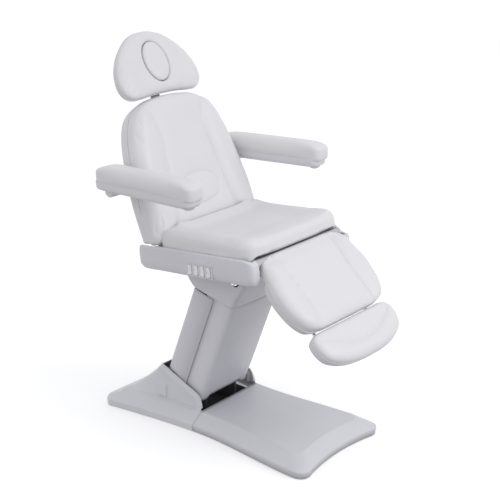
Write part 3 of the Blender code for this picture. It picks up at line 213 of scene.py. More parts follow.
# Base front cover: one vacuum-formed plastic tray turned over the chassis, with an upright rim, a
# sloping skirt and a flat deck that stops at the column well. Its sides are hollow and its front bows in.
WALL = 0.0035
SHARP = 40.0
SEAM_U = -0.046
FRONT_U = 0.497
FRONT_BOW = 0.038
WAIST_U = 0.020
REAR_U = -0.490
HALF_REAR = 0.282
HALF_WAIST = 0.220
HALF_FRONT = 0.252
RIM_Z = 0.030
DECK_Z = 0.068
SKIRT_W = 0.053
RIM_LEAN = 0.003
RIM_ROUND = 0.004
CORNER_R = 0.060
WELL_HALF = 0.158
WELL_REAR = -0.262
FLOOR_GAP = 0.0003
SPINE_END = 0.16
cover_white = finish("cover_white", (0.65, 0.645, 0.69), (0.63, 0.625, 0.67), 0.42, 0.0, 1500, 0.08,
                     coat=0.08)


def rounded(corners, cuts, steps=8):
    """Path through corners; each inner one gives way to a quadratic curve that leaves the straight lines
    at the given distance before it, or half way, and meets them again as far after it."""
    corners = [np.array(c, float) for c in corners]
    t = np.linspace(0, 1, steps)[:, None]
    runs = [corners[0][None]]
    for a, b, c, cut in zip(corners, corners[1:], corners[2:], cuts):
        before = b + (a - b) * min(cut / np.linalg.norm(a - b), 0.5)
        after = b + (c - b) * min(cut / np.linalg.norm(c - b), 0.5)
        runs.append((1 - t) ** 2 * before + 2 * t * (1 - t) * b + t ** 2 * after)
    return np.vstack(runs + [corners[-1][None]])


def ramped(t, low, high):
    """0 below low, 1 above high, with an S-shaped rise between them."""
    s = np.clip((t - low) / (high - low), 0, 1)
    return s * s * (3 - 2 * s)


def meshed(name, points, faces, sharp=SHARP):
    """Object from points and faces, doubles welded, faces turned out and shaded smooth up to an angle."""
    mesh = bpy.data.meshes.new(name)
    mesh.from_pydata(np.asarray(points).reshape(-1, 3).tolist(), [], faces)
    work = bmesh.new()
    work.from_mesh(mesh)
    bmesh.ops.remove_doubles(work, verts=work.verts, dist=1e-6)
    bmesh.ops.recalc_face_normals(work, faces=work.faces)
    work.to_mesh(mesh)
    work.free()
    mesh.shade_smooth()
    mesh.set_sharp_from_angle(angle=math.radians(sharp))
    obj = bpy.data.objects.new(name, mesh)
    studio.collection.objects.link(obj)
    return obj


def woven(rows, columns, wrap=False):
    """Quads of a grid numbered row by row; with wrap the last column meets the first."""
    index = np.arange(rows * columns).reshape(rows, columns)
    if wrap:
        index = np.hstack([index, index[:, :1]])
    quads = np.stack([index[:-1, :-1], index[:-1, 1:], index[1:, 1:], index[1:, :-1]], -1)
    return quads.reshape(-1, 4).tolist()


def settled(obj):
    """Applies an object's modifiers to its mesh."""
    graph = bpy.context.evaluated_depsgraph_get()
    mesh = bpy.data.meshes.new_from_object(obj.evaluated_get(graph))
    obj.modifiers.clear()
    obj.data = mesh
    return obj


def walled(name, points):
    """Moulded piece: a sheet through a grid of points, with a wall on the inner side of its faces."""
    obj = meshed(name, points, woven(*points.shape[:2]))
    wall = obj.modifiers.new("wall", "SOLIDIFY")
    wall.thickness = WALL
    wall.offset = -1.0
    wall.use_quality_normals = True
    return settled(obj)


def upright(x, u, z):
    """Point x across, u ahead and z up."""
    return np.stack(np.broadcast_arrays(x, -np.asarray(u), z), -1)


def carved(obj, place, low, high):
    """Cuts out of a piece a box that lies square in the axes of place."""
    ends = list(zip(low, high))
    corners = [place(x, p, q) for x in ends[0] for p in ends[1] for q in ends[2]]
    sides = [(0, 1, 3, 2), (4, 6, 7, 5), (0, 4, 5, 1), (2, 3, 7, 6), (0, 2, 6, 4), (1, 5, 7, 3)]
    tool = meshed("tool", corners, sides)
    cut = obj.modifiers.new("cut", "BOOLEAN")
    cut.operation = "DIFFERENCE"
    cut.solver = "EXACT"
    cut.object = tool
    settled(obj)
    bpy.data.objects.remove(tool, do_unlink=True)
    obj.data.shade_smooth()
    obj.data.set_sharp_from_angle(angle=math.radians(SHARP))
    return obj


def fitted(obj, material, body, slot, *nodes):
    """Gives a finished piece its material and its body and hides the solids that it stands for; the slot is
    not used.
    """
    obj.data.materials.clear()
    obj.data.materials.append(material)
    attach(obj, body)
    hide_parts(*nodes)
    return obj


def base_half(u):
    """Half width of the base: a power curve from the waist to the rear and an S-shaped one to the front."""
    back = (np.clip(WAIST_U - u, 0, 1) / (WAIST_U - REAR_U)) ** 1.5
    ahead = ramped(u, WAIST_U, FRONT_U)
    return HALF_WAIST + (HALF_REAR - HALF_WAIST) * back + (HALF_FRONT - HALF_WAIST) * ahead


def deck_path(inset):
    """Plan of the front cover drawn in by an inset: the right side, a round corner and half of the hollow
    front edge, u = front + bow (x / half)^2, then the same mirrored."""
    half = HALF_FRONT - inset
    end = half - CORNER_R
    end_u = FRONT_U - inset + FRONT_BOW * (end / HALF_FRONT) ** 2
    peak = end_u + CORNER_R * 2 * FRONT_BOW * end / HALF_FRONT ** 2
    u = np.linspace(SEAM_U, peak - CORNER_R, 28)
    side = np.stack([base_half(u) - inset, u], 1)
    ahead = end - CORNER_R
    ahead_u = FRONT_U - inset + FRONT_BOW * (ahead / HALF_FRONT) ** 2
    turning = [(side[-1, 0], peak - 2 * CORNER_R), (half, peak), (ahead, ahead_u)]
    bend = rounded(turning, [CORNER_R], 16)[2:-2]
    x = np.linspace(end, 0, 16)
    front = np.stack([x, FRONT_U - inset + FRONT_BOW * (x / HALF_FRONT) ** 2], 1)
    right = np.vstack([side, bend, front])
    return np.vstack([right, (right[:-1] * [-1, 1])[::-1]])


rim = rounded([(RIM_LEAN, FLOOR_GAP), (0.0, RIM_Z), (SKIRT_W, DECK_Z), (SKIRT_W + 0.02, DECK_Z)],
              [RIM_ROUND, RIM_ROUND], 9)
plans = [deck_path(i) for i, z in rim]
heights = [z for i, z in rim]
spine = np.stack([plans[-1][:, 0] * 0, np.minimum(plans[-1][:, 1], FRONT_U - SPINE_END)], 1)
for share in (0.66, 0.33, 0.0):
    plans.append(plans[len(rim) - 1] * share + spine * (1 - share))
    heights.append(DECK_Z)
plans = np.array(plans)
deck = upright(plans[..., 0], plans[..., 1], np.array(heights)[:, None])
fitted(walled("base_front", deck), cover_white, "base", "white_cover", "base_front_cover")

# Base rear cover: a second formed tray that rises in a hollow slope to the column and wraps it with two
# leaning cheeks. Each cheek has a broad rounded bead along the column and a sunk panel with a square pad.
REAR_R = 0.040
REAR_Z = RIM_Z + 0.006
SADDLE_Z = 0.212
CREST = 0.005
END_R = 0.024
CHEEK_Z = 0.132
CHEEK_X = 0.169
BEAD = 0.024
BEAD_W = 0.028
SINK = 0.009
PAD_RISE = 0.007
PAD_AT = (-0.256, 0.100)
PAD_HALF = 0.026


def cheek_line(u):
    """Straight fall of the cheek's upper edge from the saddle to the joint."""
    return SADDLE_Z + (CHEEK_Z - SADDLE_Z) * (u - WELL_REAR) / (SEAM_U - 0.020 - WELL_REAR)


def saddle_top(u):
    """Height of the cheek's upper edge: a power curve from the rear rim and a straight fall, blended where
    they meet, with a quarter-round end at the joint."""
    t = np.clip((u - REAR_U) / (WELL_REAR - REAR_U), 0, 3)
    rise = REAR_Z + (SADDLE_Z - REAR_Z) * t ** 1.3
    top = -CREST * np.logaddexp(-rise / CREST, -cheek_line(u) / CREST)
    end = np.sqrt(np.clip(1 - (np.clip(u - SEAM_U + END_R, 0, END_R) / END_R) ** 2, 0, 1))
    return DECK_Z + 0.003 + (top - DECK_Z - 0.003) * np.where(u > SEAM_U - END_R, end, 1.0)


def saddle_section(u):
    """Section across the rear cover at u, from the right rim over the saddle to the left rim."""
    half = float(base_half(u))
    near = min(u - REAR_U, REAR_R)
    half -= REAR_R - math.sqrt(max(0.0, REAR_R ** 2 - (REAR_R - near) ** 2))
    top = float(saddle_top(u))
    lift = np.clip((top - REAR_Z) / (DECK_Z - RIM_Z), 0, 1)
    foot_x = half + (max(CHEEK_X + 0.001, 0.168 - 0.16 * (u + 0.18)) - half) * (0.25 + 0.75 * lift)
    foot_z = RIM_Z + (min(top, DECK_Z + 0.001) - RIM_Z) * 0.94
    lean = foot_x + (CHEEK_X - foot_x) * (0.25 + 0.75 * lift)
    corners = [(half - 0.002, FLOOR_GAP), (half, RIM_Z), (foot_x, foot_z), (lean, top),
               (0.4 * lean, top - 0.003), (0.0, top - 0.003)]
    outer = rounded(corners[:3] + [corners[2]], [0.006], 7)[:-2]
    skirt = outer[-1] + (np.array(corners[2]) - outer[-1]) * np.linspace(0, 1, 10)[1:, None]
    bead = rounded(corners[2:5], [BEAD], 13)[1:-1]
    cheek = corners[2] + (bead[0] - corners[2]) * np.linspace(0, 1, 42)[1:-1, None]
    right = np.vstack([outer, skirt, cheek, bead, rounded(corners[3:], [0.03], 5)[1:]])
    return np.vstack([right, (right[:-1] * [-1, 1])[::-1]])


stations = np.unique(np.concatenate([REAR_U + REAR_R * (1 - np.cos(np.linspace(0, np.pi / 2, 9))),
                                     np.linspace(REAR_U + REAR_R, SEAM_U - 0.03, 110),
                                     np.linspace(SEAM_U - 0.03, SEAM_U - FLOOR_GAP, 16)]))
sections = np.array([saddle_section(u) for u in stations])
along = np.broadcast_to(stations[:, None], sections.shape[:2])
x, z = sections[..., 0], sections[..., 1]
below = np.minimum(0.92 * (cheek_line(along) - z), SEAM_U - 0.004 - along)
inside = ramped(below, BEAD_W, BEAD_W + 0.005) * ramped(along, -0.40, -0.30) * (z > DECK_Z - 0.003)
square = ramped(PAD_HALF - np.maximum(np.abs(along - PAD_AT[0]), np.abs(z - PAD_AT[1])), 0, 0.0030)
x = x - np.sign(x) * (SINK * inside - PAD_RISE * square) * (np.abs(x) > 0.12)
saddle = upright(x, along, z)
rear_wall = saddle[:1] * [1, 1, 0] + [0, 0, FLOOR_GAP]
saddle = np.vstack([rear_wall, saddle])
base_rear = carved(walled("base_rear", saddle), upright, (-WELL_HALF, WELL_REAR, -0.1),
                   (WELL_HALF, SEAM_U + 0.2, 0.4))
fitted(base_rear, cover_white, "base", "white_cover", "base_rear_cover")

# Column covers: two moulded channels screwed to the lift arms. The front one is a little narrower and
# slides inside the rear one as the arms swing, which leaves the thin seam along each side; its lower end is
# notched round the pivot plates.
LIFT_DEG = 69.0
LIFT_LEN = 0.476
COL_HALF = 0.150
COL_BACK = 0.052
COL_FRONT = 0.0455
COL_SEAM = 0.0565
COL_LAP = 0.036
COL_ROUND = 0.026
APRON = -0.025
NOTCH = 0.016
NOTCH_HALF = 0.102
LIFT_GAP = 0.100


def joint_place(name):
    """Rest position of one of the frame's joints."""
    return np.array(next(j["pos_m"] for j in frame["joints"] if j["name"] == name), float)


class Axes:
    """Axes of a tilted piece about a pivot: x across, p along a line in the side plane that rises by some
    degrees from straight ahead, q square to it, turned over with flip. Splay turns all about the upright."""

    def __init__(self, pivot, degrees, flip=1.0, splay=0.0, shift=0.0):
        self.pivot = np.array(pivot, float) * [0, 1, 1] + [shift, 0, 0]
        self.c, self.s = math.cos(math.radians(degrees)), math.sin(math.radians(degrees))
        self.cy, self.sy = math.cos(math.radians(splay)), math.sin(math.radians(splay))
        self.flip = flip

    def world(self, x, p, q):
        """Places in the world: turned by the rise in the side plane, then by the splay, then moved."""
        x, p, q = np.broadcast_arrays(x, p, np.asarray(q) * self.flip)
        ahead = p * self.c - q * self.s
        rise = p * self.s + q * self.c
        turned_x, turned_y = x * self.cy + ahead * self.sy, x * self.sy - ahead * self.cy
        return self.pivot + np.stack([turned_x, turned_y, rise], -1)

    def local(self, points):
        """The reverse of world, for rows of points."""
        away = points - self.pivot
        ahead = away[:, 0] * self.sy - away[:, 1] * self.cy
        x = away[:, 0] * self.cy + away[:, 1] * self.sy
        return x, ahead * self.c + away[:, 2] * self.s, (away[:, 2] * self.c - ahead * self.s) * self.flip


def channel(name, axes, half, wall_q, end_q, bulge, low, top, body, node):
    """U-shaped cover: a section with rounded corners and a wall bowed outwards by bulge (1 - (x / half)^2)
    above its lower end, drawn along the column between two slanting ends."""
    away = math.copysign(1.0, wall_q - end_q)
    right = rounded([(half, end_q), (half, wall_q), (0, wall_q)], [COL_ROUND], 12)[:-1]
    wide = np.linspace(right[-1, 0], -right[-1, 0], 49)[1:-1]
    path = np.vstack([right, np.stack([wide, np.full(len(wide), wall_q)], 1), (right * [-1, 1])[::-1]])
    bow = bulge * np.clip(1 - (path[:, 0] / half) ** 2, 0, 1) * (np.abs(path[:, 1] - wall_q) < 0.012)
    share = np.linspace(0, 1, 30)[:, None]
    q = path[None, :, 1] + away * bow * ramped(share, 0.0, 0.3)
    p = low(*path.T)[None] * (1 - share) + top(*path.T)[None] * share
    cover = walled(name, axes.world(path[None, :, 0], p, q))
    return fitted(cover, cover_white, body, "white_cover", node)


column = Axes(joint_place("lift"), LIFT_DEG, -1.0)
column_front = Axes(joint_place("front_arm_swing"), LIFT_DEG, -1.0)
channel("column_rear", column, COL_HALF, -COL_BACK, COL_SEAM, 0.002,
        lambda x, q: 0.017 - 0.27 * (q + COL_BACK), lambda x, q: LIFT_LEN - 0.056 + 0.10 * (q + COL_BACK),
        "rear_arm", "rear_column_cover")
channel("column_front", column_front, COL_HALF - WALL - 0.0006, COL_FRONT, COL_SEAM - LIFT_GAP - COL_LAP,
        0.010, lambda x, q: (APRON - 0.10 * (COL_FRONT - q)
                             + NOTCH * ramped(NOTCH_HALF - np.abs(x), 0, 0.006)),
        lambda x, q: LIFT_LEN - 0.020 + 0 * q, "front_arm", "front_column_cover")

# Carrier cover: a flared sleeve round the top of the column, in the same plastic. Its cheeks carry a raised
# rounded contour and dip round the tilt shaft, which a bright cap closes on the right; its front swells out.
TILT_AT = joint_place("seat_tilt")
SLEEVE_HALF = COL_HALF + 0.003 + WALL
SLEEVE_LOW = ((-0.200, -0.074), (-0.023, -0.114))
SLEEVE_MID = ((-0.228, -0.052), (0.011, -0.057))
SLEEVE_TOP = ((-0.262, 0.000), (0.052, 0.016))
SLEEVE_ROUND = 0.020
SLEEVE_RAISE = 0.0028
SHAFT_DIP = 0.036
SHAFT_DIP_W = 0.028
SHAFT_CAP = (0.1530, 0.1800, 0.0150)
level = Axes(TILT_AT, 0.0)
share = np.linspace(0, 1, 26)


def bent(three):
    """Quadratic curve that passes the middle of three points half way."""
    a, b, c = (np.array(v) for v in three)
    t = share[:, None]
    m = 2 * b - 0.5 * (a + c)
    return (1 - t) ** 2 * a + 2 * t * (1 - t) * m + t ** 2 * c


rear_edge = bent((SLEEVE_LOW[0], SLEEVE_MID[0], SLEEVE_TOP[0]))
front_edge = bent((SLEEVE_LOW[1], SLEEVE_MID[1], SLEEVE_TOP[1]))
rows = []
for rear, front in zip(rear_edge, front_edge):
    run = np.linalg.norm(front - rear)
    corner = rounded([(SLEEVE_HALF, 0.0), (SLEEVE_HALF, run), (0.0, run + 0.004)], [SLEEVE_ROUND], 12)
    side = np.stack([np.full(24, SLEEVE_HALF), np.linspace(0, corner[1][1], 25)[:-1]], 1)
    face_x = np.linspace(corner[-2][0], 0, 14)[1:]
    face = np.stack([face_x, run + 0.005 * (1 - (face_x / SLEEVE_HALF) ** 2)], 1)
    right = np.vstack([side, corner[1:-1], face])
    plan = np.vstack([right, (right[:-1] * [-1, 1])[::-1]])
    step = (front - rear) / run
    rows.append(np.column_stack([plan[:, 0], rear + plan[:, 1:] * step]))
rows = np.array(rows)
on_side = ramped(np.abs(rows[..., 0]), SLEEVE_HALF - 0.006, SLEEVE_HALF - 0.002)
contour = ramped(share[:, None], 0.20, 0.27) * ramped(rows[..., 1] - rear_edge[:, :1], 0.018, 0.024)
rows[..., 0] += np.sign(rows[..., 0]) * SLEEVE_RAISE * contour * on_side
rows[..., 2] -= SHAFT_DIP * share[:, None] ** 3 * on_side * np.exp(-(rows[..., 1] / SHAFT_DIP_W) ** 2)
sleeve = walled("carrier_sleeve", level.world(rows[..., 0], rows[..., 1], rows[..., 2]))
fitted(sleeve, cover_white, "carrier", "white_cover", "carrier_cover")


def turned(name, line, pivot, sign, steps=48):
    """Round piece about a line across the seat through the pivot: a profile (x, radius) turned once."""
    turn = np.linspace(0, 2 * np.pi, steps, endpoint=False)[None]
    points = np.stack(np.broadcast_arrays(sign * line[:, :1], pivot[1] + line[:, 1:] * np.cos(turn),
                                          pivot[2] + line[:, 1:] * np.sin(turn)), -1)
    return meshed(name, points, woven(*points.shape[:2], True))


inner_x, outer_x, cap_r = SHAFT_CAP
shaft_line = rounded([(inner_x, 0.0), (inner_x, cap_r), (outer_x - 0.012, cap_r),
                      (outer_x - 0.011, 0.6 * cap_r), (outer_x, 0.6 * cap_r), (outer_x, 0.0)],
                     [0.0005, 0.003, 0.001, 0.003], 7)
fitted(turned("tilt_shaft_cap", shaft_line, TILT_AT, -1), ground_steel, "carrier", "bright_steel")

# Seat side covers: a moulded wall round each side of the seat pan, with a soft ledge along the top that
# falls away behind, where the back swings down. The left one, with no switches, slopes down at its front.
SEAT_DEG = 5.3
SEAT_HALF = 0.300
SEAT_REAR = -0.365
SEAT_FRONT = 0.204
COVER_LOW = 0.041
COVER_TOP = 0.137
COVER_LIFT = 0.024
COVER_DROP = 0.022
LEFT_DROP = 0.040
REAR_DROP = 0.036
COVER_END = 0.257
COVER_R = 0.045
SW_A = -0.046
SW_H = 0.074
SW_PITCH = 0.0305
SW_HALF = (0.0105, 0.0185)
PANEL = (2 * SW_PITCH + 0.004, 0.0245)
seat = Axes(TILT_AT, SEAT_DEG)


def cover_path(inset):
    """Plan (x, a) of a side cover drawn in by an inset: the rear return, the side and the front return."""
    x, a0, a1 = SEAT_HALF - inset, SEAT_REAR + inset, SEAT_FRONT - inset
    rear = rounded([(COVER_END, a0), (x, a0), (x, a0 + 0.10)], [COVER_R], 14)[:-1]
    front = rounded([(x, a1 - 0.10), (x, a1), (COVER_END, a1)], [COVER_R * 0.8], 14)[1:]
    t = np.linspace(0, 1, 60)[1:-1, None]
    return np.vstack([rear, rear[-1] * (1 - t) + front[0] * t, front])


wall_line = rounded([(0.026, COVER_LOW + 0.004), (0.012, COVER_LOW), (0.001, COVER_LOW + 0.022),
                     (0.0, COVER_TOP - 0.022), (0.003, COVER_TOP), (0.0145, COVER_TOP + 0.0005)],
                    [0.008, 0.018, 0.014, 0.005], 9)
paths = np.array([cover_path(i) for i, h in wall_line])
up = np.broadcast_to(wall_line[:, 1][:, None], paths.shape[:2])


def quarter(t):
    """1 at 0 and 0 from 1 on, along a quarter of a circle."""
    return 1 - np.sqrt(np.clip(1 - (1 - np.clip(t, 0, 1)) ** 2, 0, 1))


corner_lift = COVER_LIFT * quarter((paths[..., 1] - SEAT_REAR) / 0.042)
up = COVER_TOP - (COVER_TOP - up) * (1 - corner_lift / (COVER_TOP - COVER_LOW))
behind = ramped(SEAT_HALF - 0.0065 - paths[..., 0], 0, 0.003)
behind = behind * (1 - ramped(paths[..., 1], SEAT_REAR + 0.078, SEAT_REAR + 0.090))
corner_drop = np.maximum(COVER_DROP * quarter((SEAT_FRONT - paths[..., 1]) / 0.050), REAR_DROP * behind)
left_drop = LEFT_DROP * ramped(paths[..., 1], 0.105, 0.180)
for side, sign in (("right", -1), ("left", 1)):
    drop = corner_drop if sign < 0 else np.maximum(corner_drop, left_drop)
    fallen = up - drop * (up - COVER_LOW) / (COVER_TOP - COVER_LOW)
    cover = walled("side_cover_" + side, seat.world(sign * paths[..., 0], paths[..., 1], fallen))
    if sign < 0:
        carved(cover, seat.world, (-SEAT_HALF - 0.02, SW_A - PANEL[0], SW_H - PANEL[1]),
               (-SEAT_HALF + 0.02, SW_A + PANEL[0], SW_H + PANEL[1]))
    fitted(cover, cover_white, "seat", "white_cover", side + "_side_cover")

# Switches: four white gloss rockers, hollow across the middle, in a row in a plain panel that is set into
# the right side cover. The panel keeps its solid shape; its four openings show as a slit ahead of each.
switch_white = finish("switch_white", (0.86, 0.86, 0.87), (0.84, 0.84, 0.85), 0.28, 0.0, 1200, 0.03,
                      coat=0.3)
dress(["switch_panel"], cover_white)


def smooth_loop(right, count=240):
    """Closed outline, alike on both sides, through a few points of its right half from the bottom middle to
    the top middle: a Catmull-Rom curve spaced by the square roots of the chords, taken at equal steps."""
    right = np.array(right, float)
    knots = np.vstack([right, (right[1:-1] * [-1, 1])[::-1]])
    around = np.vstack([knots[-1:], knots, knots[:2]])
    runs = []
    for k in range(len(knots)):
        four = around[k:k + 4]
        t = np.concatenate([[0], np.cumsum(np.sqrt(np.linalg.norm(np.diff(four, axis=0), axis=1)))])
        u = np.linspace(t[1], t[2], 24, endpoint=False)[:, None]
        a = [((t[i + 1] - u) * four[i] + (u - t[i]) * four[i + 1]) / (t[i + 1] - t[i]) for i in range(3)]
        b = [((t[i + 2] - u) * a[i] + (u - t[i]) * a[i + 1]) / (t[i + 2] - t[i]) for i in range(2)]
        runs.append(((t[2] - u) * b[0] + (u - t[1]) * b[1]) / (t[2] - t[1]))
    dense = np.vstack(runs + [runs[0][:1]])
    length = np.concatenate([[0], np.cumsum(np.linalg.norm(np.diff(dense, axis=0), axis=1))])
    even = np.linspace(0, length[-1], count, endpoint=False)
    return np.stack([np.interp(even, length, dense[:, i]) for i in range(2)], 1)


def drawn_in(loop, inset):
    """Outline moved inwards by one inset or by one for each point: up to 12 mm square to itself, and beyond
    that shrunk towards its middle."""
    square = 0.012
    inset = np.reshape(inset, (-1, 1))
    ahead = np.roll(loop, -1, 0) - np.roll(loop, 1, 0)
    out = np.stack([ahead[:, 1], -ahead[:, 0]], 1) / np.linalg.norm(ahead, axis=1)[:, None]
    moved = loop - out * np.clip(inset, -square, square)
    middle = 0.5 * (loop.max(0) + loop.min(0))
    size = 0.5 * (loop.max(0) - loop.min(0)).min()
    return middle + (moved - middle) * (1 - np.maximum(inset - square, 0) / size)


def ringed(name, place, loops, heights, torus=False):
    """Closed skin through a pile of like outlines, each at its heights; the ends are closed at their
    middles, or the last outline joins the first in a torus."""
    points = np.array([place(loop[:, 0], loop[:, 1], h) for loop, h in zip(loops, heights)])
    rows, columns = points.shape[:2]
    faces = woven(rows, columns, True)
    flat = points.reshape(-1, 3)
    if torus:
        last = (rows - 1) * columns
        faces += [(last + k, last + (k + 1) % columns, (k + 1) % columns, k) for k in range(columns)]
    else:
        flat = np.vstack([flat, points[0].mean(0), points[-1].mean(0)])
        for first, middle in ((0, len(flat) - 2), ((rows - 1) * columns, len(flat) - 1)):
            faces += [(first + (k + 1) % columns, first + k, middle) for k in range(columns)]
    return meshed(name, flat, faces)


SW_SLIT = 0.0040
ROCK_HOLLOW = 0.0022
rock_x, rock_h = SW_HALF[0] - SW_SLIT / 2, SW_HALF[1]
rocker_loop = smooth_loop([(0, -rock_h), (rock_x * 0.7, -rock_h), (rock_x, -rock_h * 0.9),
                           (rock_x, 0), (rock_x, rock_h * 0.9), (rock_x * 0.7, rock_h),
                           (0, rock_h)], 96)
steps = [(0.0, -0.006), (0.0, -0.001), (0.0, 0.0005), (0.0006, 0.0016), (0.0018, 0.0022), (0.0045, 0.0024),
         (0.008, 0.0024)]
loops = [drawn_in(rocker_loop, i) for i, h in steps]
outs = [h + (ROCK_HOLLOW * (loop[:, 1] / rock_h) ** 2 - 0.0008) * (h > 0)
        for loop, (i, h) in zip(loops, steps)]
for k in range(4):
    middle = SW_A + (k - 1.5) * SW_PITCH - SW_SLIT / 2
    number = str(k + 1)
    rocker = ringed("rocker_" + number,
                    lambda a, h, out: seat.world(-SEAT_HALF - out, middle + a, SW_H + h), loops, outs)
    fitted(rocker, switch_white, "switch_" + number, "white_switch", "rocker_switch_" + number)

# Seat cushion: foam under white coated fabric, dished in the middle, with raised side bolsters and a raised
# roll at the knees. The pad swells under its own pressure with its base and seams held.
PAN_TOP = 0.1163
CUSH_HALF = 0.285
CUSH_REAR = -0.240
CUSH_FRONT = 0.194
CUSH_SIDE = 0.162
CUSH_TOP = 0.181
KNEE_ROOM = 0.026
PAD_GAP = 0.0003
SWELL = 0.004
SWELL_FRAMES = 20
HELD = 0.010
CLOTH = dict(quality=4, mass=0.3, tension_stiffness=12, compression_stiffness=12, bending_stiffness=2.0,
             use_pressure=True, uniform_pressure_force=4.0, vertex_group_mass="held")


def hide_group():
    """Node group: small cells with soft creases between them, as on coated fabric, and a slow tone."""
    group = skin_group("hide_grain", "Tone", Scale=420.0)
    make = group.nodes.new
    given, out, place = make("NodeGroupInput"), make("NodeGroupOutput"), make("ShaderNodeTexCoord")
    cells, slow, bump = make("ShaderNodeTexVoronoi"), make("ShaderNodeTexNoise"), make("ShaderNodeBump")
    cells.feature = "SMOOTH_F1"
    filled(slow, {"Scale": 9.0})
    filled(bump, {"Strength": 0.12, "Distance": 0.0005})
    wired(group, (place, "Object", cells, "Vector"), (place, "Object", slow, "Vector"),
          (given, "Scale", cells, "Scale"), (cells, "Distance", bump, "Height"),
          (bump, "Normal", out, "Normal"), (slow, "Fac", out, "Tone"))
    return group


def upholstery():
    """Material: soft white coated fabric with a fine hide grain and a faint sheen."""
    material = bpy.data.materials.new("white_upholstery")
    material.use_nodes = True
    tree = material.node_tree
    shader = tree.nodes["Principled BSDF"]
    grain = tree.nodes.new("ShaderNodeGroup")
    grain.node_tree = hide_group()
    tone = tree.nodes.new("ShaderNodeMix")
    tone.data_type = "RGBA"
    filled(tone, {"A": (0.69, 0.685, 0.71, 1), "B": (0.72, 0.715, 0.735, 1)})
    wired(tree, (grain, "Tone", tone, "Factor"), (tone, "Result", shader, "Base Color"),
          (grain, "Normal", shader, "Normal"))
    filled(shader, {"Roughness": 0.42, "Sheen Weight": 0.08})
    return material


white_upholstery = upholstery()


def no_rise(x, p):
    """No rise anywhere."""
    return 0.0 * x


def pad_form(name, place, loop, low, side, top, rim, tuck, rise=no_rise, hollow=no_rise, hole=None):
    """Closed pad before it swells: a base drawn in by tuck and lifted by hollow(x, p), a side that flares
    by a fourth power, a quarter-round rim and a top shaped by rise(x, p). A hole makes it a ring."""
    loop = drawn_in(loop, SWELL * 0.8)
    base, inner = drawn_in(loop, tuck), drawn_in(loop, rim)
    skin_top, inner_rim = top - SWELL, rim * 0.35
    middle = np.broadcast_to(loop.mean(0), loop.shape)
    centre, bottom = (middle, middle) if hole is None else (drawn_in(hole, -inner_rim), hole)
    loops, heights = [], []

    def ring(points, height, shaped=0.0, raised=0.0):
        """Adds an outline at a height, plus a share of the rise and a share of the hollow."""
        loops.append(points)
        heights.append(height + shaped * rise(*points.T) + raised * hollow(*points.T))

    for s in (0.01, 0.35, 0.7, 1.0):
        ring(bottom + (base - bottom) * s, low, 0.0, 1.0)
    for s in (0.1, 0.2, 0.35, 0.6, 1.0):
        ring(base + (loop - base) * (1 - (1 - s) ** 4), low + (side - low) * s, 0.0, (1 - s) ** 2)
    for s in np.linspace(0, np.pi / 2, 11)[1:]:
        ring(loop + (inner - loop) * (1 - math.cos(s)), side + (skin_top - side) * math.sin(s), math.sin(s))
    for s in np.linspace(0, 1, 22)[1:]:
        ring(inner + (centre - inner) * min(s, 0.995), skin_top, 1.0)
    if hole is not None:
        for s in np.linspace(0, np.pi / 2, 6)[1:]:
            ring(centre + (hole - centre) * math.sin(s), skin_top - inner_rim * (1 - math.cos(s)), 1.0)
        for s in (0.3, 0.6, 0.9):
            ring(hole, (skin_top - inner_rim) * (1 - s) + low * s)
    return ringed(name, place, loops, heights, torus=hole is not None)


def line_distance(x, p, line):
    """Distance of points (x, p) from a line of points."""
    nearest = np.full(len(x), 1e9)
    for (x0, p0), (x1, p1) in zip(line, line[1:]):
        dx, dp = x1 - x0, p1 - p0
        t = np.clip(((x - x0) * dx + (p - p0) * dp) / (dx * dx + dp * dp), 0, 1)
        nearest = np.minimum(nearest, np.hypot(x - x0 - t * dx, p - p0 - t * dp))
    return nearest


def coordinates(mesh):
    """Places of a mesh's points, one row each."""
    flat = np.empty(len(mesh.vertices) * 3)
    mesh.vertices.foreach_get("co", flat)
    return flat.reshape(-1, 3)


def upholstered(obj, axes, low, seams, voxel, body, node, depth=0.0035, width=0.0045):
    """Turns a form into a finished cushion: an even skin of voxels, cloth swollen by pressure with the base
    and the seams held and no point moving further than the swell, one subdivision, then the seams drawn in
    by a narrow and a wide bell of the distance from their lines."""
    even = obj.modifiers.new("even", "REMESH")
    even.mode = "VOXEL"
    even.voxel_size = voxel
    settled(obj)
    start = coordinates(obj.data)
    x, p, q = axes.local(start)
    held = q < low + HELD
    for line in seams:
        held |= line_distance(x, p, line) < voxel
    group = obj.vertex_groups.new(name="held")
    group.add(np.nonzero(held)[0].tolist(), 1.0, "REPLACE")
    cloth = obj.modifiers.new("cloth", "CLOTH")
    for setting, value in CLOTH.items():
        setattr(cloth.settings, setting, value)
    cloth.settings.effector_weights.gravity = 0.0
    cloth.collision_settings.use_collision = False
    cloth.point_cache.frame_start = 1
    cloth.point_cache.frame_end = SWELL_FRAMES
    for number in range(1, SWELL_FRAMES + 1):
        studio.frame_set(number)
    settled(obj)
    moved = coordinates(obj.data) - start
    length = np.linalg.norm(moved, axis=1)[:, None]
    moved *= np.minimum(1, SWELL / np.maximum(length, 1e-9))
    obj.data.vertices.foreach_set("co", (start + moved).ravel())
    studio.frame_set(1)
    soft = obj.modifiers.new("soft", "SUBSURF")
    soft.levels = soft.render_levels = 1
    settled(obj)
    points = coordinates(obj.data)
    x, p, q = axes.local(points)
    sewn = np.zeros(len(x))
    for line in seams:
        away = line_distance(x, p, line)
        sewn = np.maximum(sewn, np.exp(-(away / width) ** 2) + 0.45 * np.exp(-(away / (4 * width)) ** 2))
    q = q - depth * sewn * ramped(q, low + 0.015, low + 0.030)
    obj.data.vertices.foreach_set("co", axes.world(x, p, q).ravel())
    obj.data.update()
    obj.data.shade_smooth()
    obj.vertex_groups.clear()
    return fitted(obj, white_upholstery, body, "upholstery", node)


